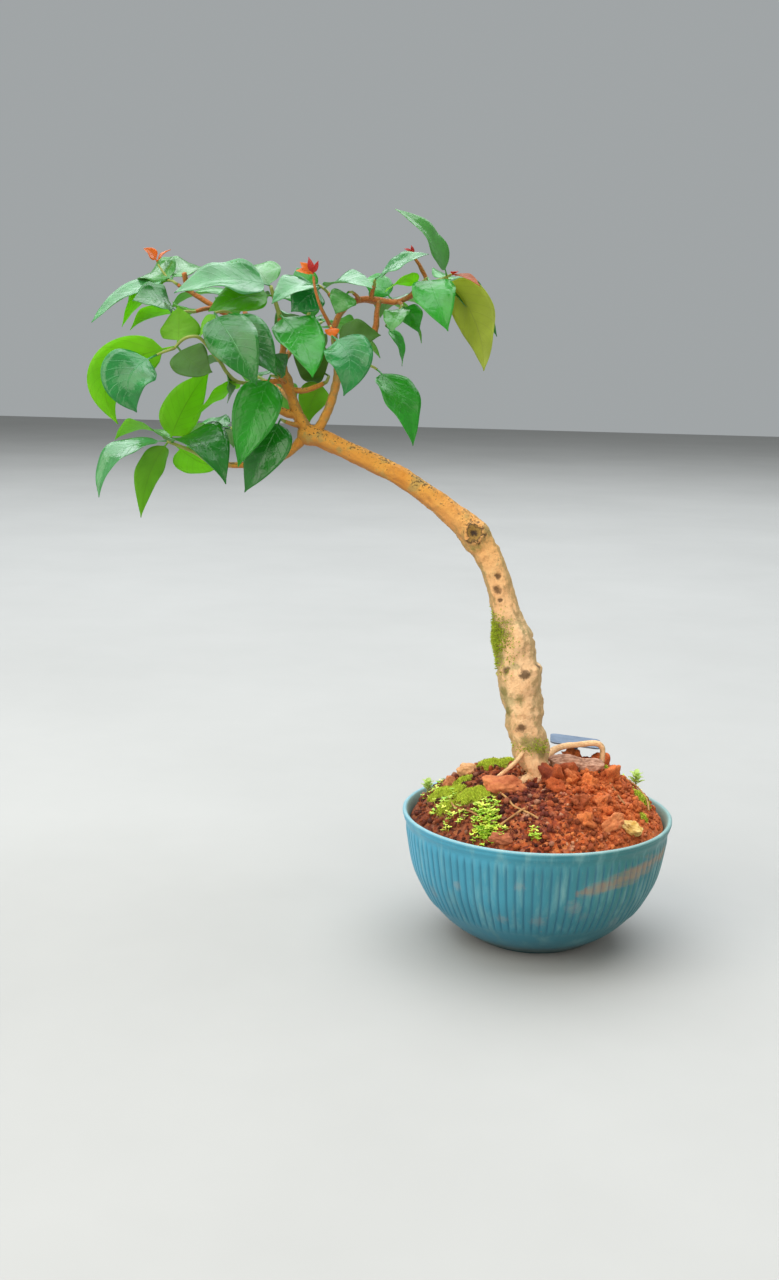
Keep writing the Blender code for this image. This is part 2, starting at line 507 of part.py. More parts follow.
def build_soil(cutters):
    """Make the soil that fills the pot, with sockets where wood and stones sit in it."""
    finish = material("laterite_crumb", (0.22, 0.07, 0.035), 0.95)
    floor_radius = INNER_WALL[-1][1] - FLOOR_CORNER
    rings = [circle(floor_radius - SOIL_GAP, FLOOR + GAP, SOIL_SIDES)]
    for height, radius in reversed(INNER_WALL[1:]):
        rings.append(circle(radius - SOIL_GAP, height, SOIL_SIDES))
    rings.append(circle(INNER_WALL[0][1] - SOIL_GAP, SOIL_EDGE - 2, SOIL_SIDES))
    for reach in SOIL_RINGS:
        count = SOIL_SIDES if reach > SOIL_RINGS[-4] else SOIL_SIDES // 2
        rings.append([Vector((point.x, point.y, soil_height(point.x, point.y)))
                      for point in circle(reach, 0, count)])
    soil = closed_rings("soil", rings, finish)
    return keep_largest(combine(soil, cutters, "DIFFERENCE"))


def bark_swell(place, outward):
    """Give the lumps of the trunk, as a factor of its radius."""
    return 1 + 0.09 * noise.noise(place / 11 + outward * 0.9)


def rooted_wood(spare=0.0):
    """Make the trunk and its roots, larger by spare where they cut their socket in the soil."""
    pieces = [tube("tree", smooth_run(TRUNK, 12), 11, None, bark_swell, spare)]
    for name, points in ROOTS.items():
        pieces.append(tube(name, smooth_run(points, BRANCH_STEP), 6, None, None, spare))
    return pieces


def build_tree():
    """Make the trunk, roots, limbs and woody twigs as one piece."""
    pieces = rooted_wood()
    for name, points in BRANCHES.items():
        sides = 7 if points[0][3] > 2.4 else WOOD_SIDES
        pieces.append(tube(name, smooth_run(points, BRANCH_STEP), sides))
    tree = combine(pieces[0], pieces[1:])
    tree.data.materials.append(material("bark", (0.55, 0.3, 0.13), 0.8))
    return tree


def point_along(run, share):
    """Give the point at a share of a run's length."""
    places = [Vector(row[:3]) for row in run]
    lengths = [(after - before).length for before, after in zip(places, places[1:])]
    wanted = share * sum(lengths)
    for index, length in enumerate(lengths):
        if wanted <= length:
            return places[index].lerp(places[index + 1], wanted / length)
        wanted -= length
    return places[-1]


def blade_half_width(t):
    """Give a blade's half width as a share of its greatest: broad low down, with a drawn-out tip."""
    greatest = 0.3572
    return t ** 0.55 * (1 - t) ** 1.05 / greatest


def leaf_rings(base, leaf):
    """Give the rings of a leaf, each of six points: a short stalk and then a folded blade."""
    tip = Vector(leaf.tip)
    face = Vector(leaf.face).normalized()
    chord = tip - base
    crest = (base + tip) / 2 + (face * leaf.arch + Vector(leaf.bow)) * 2
    stalk = min(STALK_LENGTH / chord.length, STALK_SHARE)
    small = leaf.width < SMALL_WIDTH
    blade = SMALL_STATIONS if small else BLADE_STATIONS
    stalk_half = min(STALK_HALF, leaf.width / 8)
    rings = []
    for index, t in enumerate((None, None) + blade):
        s = stalk * 0.85 * index if t is None else stalk + (1 - stalk) * t
        place = base * (1 - s) ** 2 + crest * 2 * s * (1 - s) + tip * s * s
        along = ((crest - base) * (1 - s) + (tip - crest) * s).normalized()
        up = (face - along * face.dot(along)).normalized()
        side = along.cross(up)
        if t is None:
            half, skin, fold = stalk_half, up * min(STALK_THICKNESS, 2 * stalk_half) / 2, 0.0
        else:
            half = max(leaf.width / 2 * blade_half_width(t), TIP_HALF)
            skin, fold = up * LEAF_THICKNESS / 2, math.radians(leaf.fold)
        reach = side * half * math.cos(fold)
        lift = up * half * math.sin(fold)
        rings.append([place - reach + lift + skin, place + skin, place + reach + lift + skin,
                      place + reach + lift - skin, place - skin, place - reach + lift - skin])
    return rings


def leaf_object(base, leaf):
    """Make a leaf whose two faces are split into triangles alike."""
    rings = leaf_rings(base, leaf)
    points = [point for ring in rings for point in ring]
    faces = []
    for ring in range(len(rings) - 1):
        for corner in range(6):
            near = ring * 6 + corner
            after = ring * 6 + (corner + 1) % 6
            if corner < 3:
                faces += [(near, after, after + 6), (near, after + 6, near + 6)]
            else:
                faces += [(near, after, near + 6), (after, after + 6, near + 6)]
    last = (len(rings) - 1) * 6
    for start in (0, last):
        faces += [(start, start + 1, start + 5), (start + 1, start + 4, start + 5)]
        faces += [(start + 1, start + 2, start + 4), (start + 2, start + 3, start + 4)]
    return add_mesh("leaf", points, faces)


def spray_runs(spray):
    """Give the twigs of a spray. The first starts a gap beyond its branch's end, in line with it."""
    if isinstance(spray.branch, str):
        branch = smooth_run(BRANCHES[spray.branch], BRANCH_STEP)
        end, direction, _ = frames_along(branch)[-1]
        radius = branch[-1].w * 0.92
        lead = [end + direction * GAP, end + direction * 1.8]
    else:
        radius = 0.7
        lead = [Vector(spray.branch)]
    runs = []
    for index, points in enumerate(spray.twigs):
        line = [Vector(point) for point in points]
        if index == 0:
            line = lead + line
        thick = radius if index == 0 else radius * 0.75
        run = []
        for step, place in enumerate(line):
            share = step / (len(line) - 1)
            run.append((*place, thick * (1 - 0.3 * share)))
        runs.append(smooth_run(run, TWIG_STEP))
    return runs


def build_spray(name, spray, finish):
    """Make a green twig with its leaves as one piece."""
    runs = spray_runs(spray)
    twigs = [tube(name, run, TWIG_SIDES) for run in runs]
    leaves = [leaf_object(point_along(runs[leaf.twig], leaf.at), leaf) for leaf in spray.leaves]
    made = combine(twigs[0], twigs[1:] + leaves)
    made.data.materials.append(finish)
    return keep_largest(made)


def seedling_foot(seedling, depth):
    """Give the place on a seedling's stem at a depth under the soil's surface."""
    x, y, _ = seedling.foot
    return Vector((x, y, soil_height(x, y) - depth))


def seedling_stem(name, seedling, spare=0.0):
    """Make a seedling's stem, or with a spare radius the hole that it stands in."""
    low = seedling_foot(seedling, 4)
    high = seedling_foot(seedling, -seedling.height)
    run = [(*low, 0.6 + spare), (*high, 0.5 + spare)]
    return tube(name, run, TWIG_SIDES, None, None, spare)


def build_seedling(name, seedling, finish):
    """Make a small weed: a stem with leaves that open round its top."""
    stem = seedling_stem(name, seedling)
    leaves = []
    for index in range(seedling.leaves):
        angle = 2.4 * index
        rise = seedling.height * (0.45 + 0.5 * index / (seedling.leaves - 1))
        base = seedling_foot(seedling, -rise)
        outward = Vector((math.cos(angle), math.sin(angle), 0.5))
        tip = base + outward * seedling.reach * 0.9
        leaf = Leaf(0, 0, tuple(tip), (-outward.x * 0.4, -outward.y * 0.4, 1), 4.4, 0.4)
        leaves.append(leaf_object(base, leaf))
    made = combine(stem, leaves)
    made.data.materials.append(finish)
    return keep_largest(made)


def stone_object(name, stone, spare=0.0, finish=None):
    """Make a stone: a ball drawn out to its size, with broken flats, larger all over by spare."""
    shape = bmesh.new()
    bmesh.ops.create_icosphere(shape, subdivisions=2, radius=1)
    turn = Euler([math.radians(angle) for angle in stone.turn])
    x, y, lift = stone.centre
    centre = Vector((x, y, soil_height(x, y) + lift))
    for vert in shape.verts:
        bump = 1 + 0.3 * noise.noise(vert.co * 1.1 + Vector((stone.shape, 0, 0)))
        reach = [part * (size / 2 * bump + spare) for part, size in zip(vert.co, stone.size)]
        place = Vector(reach)
        place.rotate(turn)
        vert.co = centre + place
    points = [vert.co.copy() for vert in shape.verts]
    faces = [tuple(vert.index for vert in face.verts) for face in shape.faces]
    shape.free()
    return add_mesh(name, points, faces, finish)


def upright_plate(name, outline, low, high, finish=None):
    """Make a plate from a level outline between two heights, each (at left, at right) of the tag."""
    rings = []
    for at_left, at_right in (low, high):
        ring = []
        for x, y in outline:
            share = (x - TAG_CENTRE[0]) / TAG_LENGTH + 0.5
            ring.append(Vector((x, y, at_left + (at_right - at_left) * share)))
        rings.append(ring)
    return closed_rings(name, rings, finish)


def build_tag(name, spare=0.0, finish=None):
    """Make the plastic tag: a sloping plate with round corners, and the stake that it grows from."""
    x, y, z = TAG_CENTRE
    half_length = TAG_LENGTH / 2 + spare
    half_depth = TAG_DEPTH / 2 + spare
    corner = 3.0
    outline = []
    for quarter, (right, back) in enumerate(((1, 1), (-1, 1), (-1, -1), (1, -1))):
        for step in range(3):
            angle = math.radians(90 * quarter + 45 * step)
            outline.append((x + right * (half_length - corner) + corner * math.cos(angle),
                            y + back * (half_depth - corner) + corner * math.sin(angle)))
    fall = TAG_LENGTH * math.sin(math.radians(TAG_SLOPE))
    top = z + TAG_THICKNESS / 2 + spare
    foot = z - TAG_THICKNESS / 2 - spare
    plate = upright_plate(name, outline, (foot + fall / 2, foot - fall / 2),
                          (top + fall / 2, top - fall / 2), finish)
    stake_x, stake_y = STAKE_PLACE
    half_width = STAKE_WIDTH / 2 + spare
    half_skin = TAG_THICKNESS / 2 + spare
    outline = [(stake_x - half_width, stake_y - half_skin), (stake_x + half_width, stake_y - half_skin),
               (stake_x + half_width, stake_y + half_skin), (stake_x - half_width, stake_y + half_skin)]
    stake = upright_plate("stake", outline, (STAKE_FOOT - spare, STAKE_FOOT - spare), (z, z))
    return combine(plate, [stake])


def soil_cutters():
    """Make everything that sits in the soil a gap larger, to cut its socket."""
    cutters = rooted_wood(GAP)
    cutters += [stone_object("socket", stone, GAP) for stone in STONES.values()]
    cutters += [seedling_stem("hole", seedling, GAP) for seedling in SEEDLINGS.values()]
    cutters.append(build_tag("slot", GAP))
    return cutters


def shade_smooth(sharp_angle):
    """Shade every piece smooth, apart from edges over an angle."""
    for thing in bpy.data.objects:
        thing.data.shade_smooth()
        thing.data.set_sharp_from_angle(angle=sharp_angle)


def clear_scene():
    """Remove every object that the scene starts with."""
    for thing in list(bpy.data.objects):
        bpy.data.objects.remove(thing)


def main():
    """Build every piece in its place."""
    clear_scene()
    leaf_finish = material("leaf", (0.05, 0.25, 0.03), 0.35)
    young_finish = material("young_leaf", (0.75, 0.2, 0.02), 0.4)
    weed_finish = material("weed", (0.12, 0.4, 0.05), 0.5)
    stone_finish = material("laterite_stone", (0.5, 0.2, 0.08), 0.9)
    build_pot()
    build_soil(soil_cutters())
    build_tree()
    for name, spray in SPRAYS.items():
        build_spray(name, spray, leaf_finish)
    for name, spray in SHOOTS.items():
        build_spray(name, spray, young_finish)
    for name, seedling in SEEDLINGS.items():
        build_seedling(name, seedling, weed_finish)
    for name, stone in STONES.items():
        stone_object(name, stone, 0.0, stone_finish)
    build_tag("plastic_tag", 0.0, material("pale_plastic", (0.42, 0.47, 0.56), 0.3))
    shade_smooth(math.radians(35))


main()
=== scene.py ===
"""Surinam cherry bonsai in a ribbed plastic bowl: the dressed model, laid out as a Blender add-on.

Lengths in the tables are in millimetres and become metres where a mesh is made. +Z is up, +X to
the right and -Y towards the viewer, from the centre of the underside of the pot's foot.
"""

import math
import random
from collections import namedtuple

import bpy
from bpy.props import FloatProperty, FloatVectorProperty, IntProperty, PointerProperty
from bpy.types import Operator, Panel, PropertyGroup
from mathutils import Euler, Matrix, Vector, noise


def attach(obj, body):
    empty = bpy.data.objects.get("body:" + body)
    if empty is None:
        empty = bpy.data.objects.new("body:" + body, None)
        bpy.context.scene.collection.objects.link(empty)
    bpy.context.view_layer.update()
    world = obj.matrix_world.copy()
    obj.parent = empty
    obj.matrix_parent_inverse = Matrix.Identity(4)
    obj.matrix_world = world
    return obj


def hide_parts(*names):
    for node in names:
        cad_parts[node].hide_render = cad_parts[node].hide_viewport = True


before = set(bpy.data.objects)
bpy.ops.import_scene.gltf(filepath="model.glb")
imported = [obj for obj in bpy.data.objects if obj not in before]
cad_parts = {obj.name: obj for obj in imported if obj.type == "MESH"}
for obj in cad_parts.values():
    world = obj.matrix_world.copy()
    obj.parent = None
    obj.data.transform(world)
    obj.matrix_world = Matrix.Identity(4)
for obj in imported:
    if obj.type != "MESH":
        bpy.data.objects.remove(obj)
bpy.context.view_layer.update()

bl_info = {
    "name": "Surinam Cherry Bonsai",
    "version": (1, 0, 0),
    "blender": (4, 5, 0),
    "location": "3D View > Sidebar > Bonsai",
    "description": "Dresses the packed bonsai with bark, leaves, soil, moss and a ribbed bowl",
    "category": "Object",
}

MM = 0.001
BODY = "root"

# Pot: a thin moulded bowl. Each outline is a run of (height, radius), from the foot up.
FLOOR = 2.6
FOOT = [(0, 36), (2.6, 36.5), (3.6, 40.5)]
LOWER_WALL = [(9, 50.6), (16, 59)]
RIBBED_WALL = [(24, 66.2), (28, 69), (46, 77.6), (69, 82.1), (73, 82.6)]
LIP = [(73, 82.6), (75.4, 83.3), (77.6, 84.4), (79.4, 84.6), (79.9, 85.1), (81.2, 85.2),
       (82, 84.3), (82, 83.4), (81, 82.2)]
INNER_WALL = [(75, 80.6), (66, 79.5), (46, 75.4), (28, 66.8), (9, 48.4)]

# Soil: a mound that rises from the wall of the pot to the foot of the trunk. Each hump or dip in it
# is (x, y, spread, rise).
SOIL_GAP = 0.45
SOIL_EDGE = 77.0
SOIL_REACH = 79.0
SOIL_RISE = 28.0
SOIL_STEEPNESS = 3.0
HUMPS = [(42, 20, 22, 6.0), (-31, 16, 14, 4.5), (-6, -30, 14, -2.0), (30, -40, 14, 2.0)]

# Tree: each piece of wood is a run of (x, y, z, radius).
TRUNK = [
    (4, -6, 72, 5), (3.5, -8, 90, 5), (2.5, -7, 102, 5.6), (0.5, -5, 109, 7), (-2.6, -3, 115, 9.4),
    (-5, -1, 121, 11.2), (-6.6, 0, 128, 11.4), (-9.3, 0, 137, 11.4), (-11.3, 0, 151, 12.2),
    (-13.6, 0, 164, 13.2), (-15, 0, 172, 13.7), (-17, 0, 181, 12.3), (-19, 0, 192, 12.8),
    (-21, 0, 200, 10.6), (-24.6, 0, 213, 8.6), (-30.7, 0, 231.7, 8), (-37.6, 0, 246.2, 8.2),
    (-43, 0, 254, 9.4), (-48.5, 0, 260.5, 8.8), (-59.3, 0, 269.1, 7.4), (-74.2, 0, 280.1, 6.4),
    (-91.9, 0, 291.2, 6), (-109.4, 0, 299.3, 5.8), (-127, 0, 307, 5.7), (-141, 0, 313, 6),
    (-150, 0, 315.5, 6.4), (-155, 0, 317, 4.6),
]
ROOTS = {
    "root_arching": [(0, 2, 104, 3.4), (6, 12, 115, 2.6), (14, 17, 119.5, 2.0), (26, 20, 121, 1.8),
                     (36, 21, 122, 1.9), (40.5, 21, 119, 1.8), (40.5, 20, 110, 1.7),
                     (39, 18, 98, 1.6)],
    "root_side": [(-6, -6, 128, 1.9), (-10, -10, 122, 1.6), (-14.5, -12.5, 116, 1.4),
                  (-21, -13.5, 110, 1.3), (-28, -14, 103, 1.2), (-33, -14, 95, 1.1)],
    "root_left": [(-2, -4, 106, 5), (-9, -10.6, 102.4, 3.8), (-17, -14.4, 95.5, 2.7),
                  (-26, -18, 86, 1.8)],
    "root_right": [(2, -4, 106, 5.2), (10, -9, 101, 3.6), (17, -12, 94, 2.6), (25, -16, 84, 1.8)],
    "root_front": [(2, -8, 105, 4.6), (3, -16, 100, 3.4), (6, -24, 92, 2.2), (8, -32, 82, 1.8)],
    "root_back": [(-2, 0, 106, 5), (-6, 10, 103, 3.8), (-12, 20, 96, 2.6), (-18, 30, 86, 1.8)],
}
BRANCHES = {
    "leader": [(-149, 0, 316, 4.6), (-154, 0, 323, 4.0), (-158, -1, 332, 3.4), (-161, -1, 341, 3.2),
               (-164, 0, 348, 4.2), (-166, 0, 353, 3.4)],
    "cut_stub": [(-156, 0, 327, 2.6), (-162, -3, 328, 2.6), (-167, -5, 330, 2.2)],
    "leader_top": [(-164, 0, 349, 2.6), (-166, -1, 360, 2.3), (-165, -2, 371, 2.0),
                   (-167, -4, 385, 1.7)],
    "top_twig": [(-165, -2, 368, 1.6), (-159, 4, 377, 1.5), (-153, 10, 386, 1.3)],
    "left_limb": [(-164, 0, 349, 2.6), (-174, 2, 363, 2.4), (-187, 2, 377, 2.1),
                  (-198, 0, 385, 1.9), (-208, 0, 391, 1.7), (-217, 2, 396, 1.6),
                  (-225, 2, 401.5, 1.6), (-227, -1, 411, 1.6)],
    "left_tip_twig": [(-224, 3, 400, 1.4), (-228, 0, 402, 1.2), (-231, -1, 404, 1.1)],
    "left_low_twig": [(-206, 0, 390, 1.4), (-211, -8, 390, 1.3), (-217, -13, 388, 1.2)],
    "left_back_twig": [(-187, 2, 377, 1.6), (-192, 16, 386, 1.5), (-196, 28, 392, 1.3)],
    "front_twig": [(-180, 2, 370, 1.6), (-186, -12, 380, 1.4), (-190, -24, 385, 1.2)],
    "arch_twig": [(-164, 0, 348, 2.0), (-172, -6, 347, 1.7), (-180, -12, 346, 1.4)],
    "hanging_twig": [(-163, 0, 345, 2.0), (-165, -7, 349, 1.5), (-167, -11, 350, 1.3)],
    "low_limb": [(-152, 0, 314, 3.4), (-159, -2, 306, 2.7), (-168, -5, 300, 2.4),
                 (-180, -8, 297, 2.1), (-193, -12, 296, 1.8), (-206, -14, 297, 1.5)],
    "low_front_twig": [(-155, -1, 321, 2.0), (-159, -7, 322, 1.4), (-162, -12, 323.5, 1.2)],
    "low_back_twig": [(-176, -7, 298, 1.8), (-184, 6, 302, 1.5), (-192, 20, 308, 1.3)],
    "right_limb": [(-146, 0, 315, 4), (-141, 0, 323, 3.0), (-135, -3, 336, 2.7),
                   (-131, -7, 352, 2.4), (-132, -9, 367, 2.2), (-133, -9, 379, 2.0),
                   (-130, -7, 388, 1.9), (-124, -3, 395, 1.8), (-116, -1, 397.5, 1.7),
                   (-107, 0, 397, 1.7), (-97, -2, 396, 1.6), (-89, -4, 399, 1.5),
                   (-84, -6, 404, 1.3)],
    "inner_twig": [(-160, -1, 342, 1.9), (-152, 1, 342, 1.7), (-145, 3, 344.5, 1.5),
                   (-141, 4, 346.5, 1.4)],
    "fold_twig": [(-131, -7, 354, 1.6), (-130, -15, 362, 1.3), (-130, -22, 368, 1.2)],
    "lone_twig": [(-132, -7, 351, 1.6), (-124, -8, 353, 1.3), (-116, -10, 356, 1.2)],
    "red_twig": [(-132, -9, 376, 1.4), (-135, -19, 383, 1.2), (-139, -25, 392, 1.0),
                 (-142, -27, 402, 0.9), (-143, -27, 409, 0.8)],
    "middle_twig": [(-130, -7, 388, 1.6), (-134, -2, 395, 1.4), (-138, 2, 400, 1.2)],
    "light_twig": [(-119, -2, 396.5, 1.5), (-120, -7, 399, 1.2), (-121.5, -10, 400.5, 1.0)],
    "right_back_twig": [(-124, -3, 395, 1.6), (-118, 12, 397, 1.4), (-112, 26, 396, 1.3)],
    "knob_twig": [(-107, 0, 397, 1.6), (-108, -3, 390, 1.6), (-108, -5, 383, 1.9),
                  (-109, -6, 378, 2.2)],
    "high_twig": [(-112, -1, 397, 1.5), (-111, -2, 402, 1.3), (-110, -3, 405, 1.2)],
    "drop_twig": [(-95, -2, 396, 1.4), (-93, -6, 395, 1.2), (-92, -9, 394, 1.1)],
    "sprout_twig": [(-88, -4, 400, 1.3), (-79, -3, 408, 1.3), (-82, -3, 416, 1.2),
                    (-86, -3, 422, 0.9)],
    "outer_twig": [(-92, -3, 397.5, 1.5), (-83, 1, 402, 1.3), (-74, 1, 408, 1.2)],
    "back_twig": [(-166, -1, 358, 2.0), (-162, 16, 368, 1.7), (-156, 32, 376, 1.4)],
    "back_low_twig": [(-160, -1, 336, 2.0), (-168, 16, 340, 1.7), (-178, 32, 344, 1.4)],
}

# Leaves: the twig that a leaf grows on, where along it (0 is the twig's start and 1 its end), where
# its tip is, the way its upper face looks, its width, how far its midrib arches above the line from
# base to tip, how far the midrib's middle is drawn aside, and how far its halves fold up.
Leaf = namedtuple("Leaf", "twig at tip face width arch bow fold", defaults=(5, (0, 0, 0), 12))
Spray = namedtuple("Spray", "branch twigs leaves")

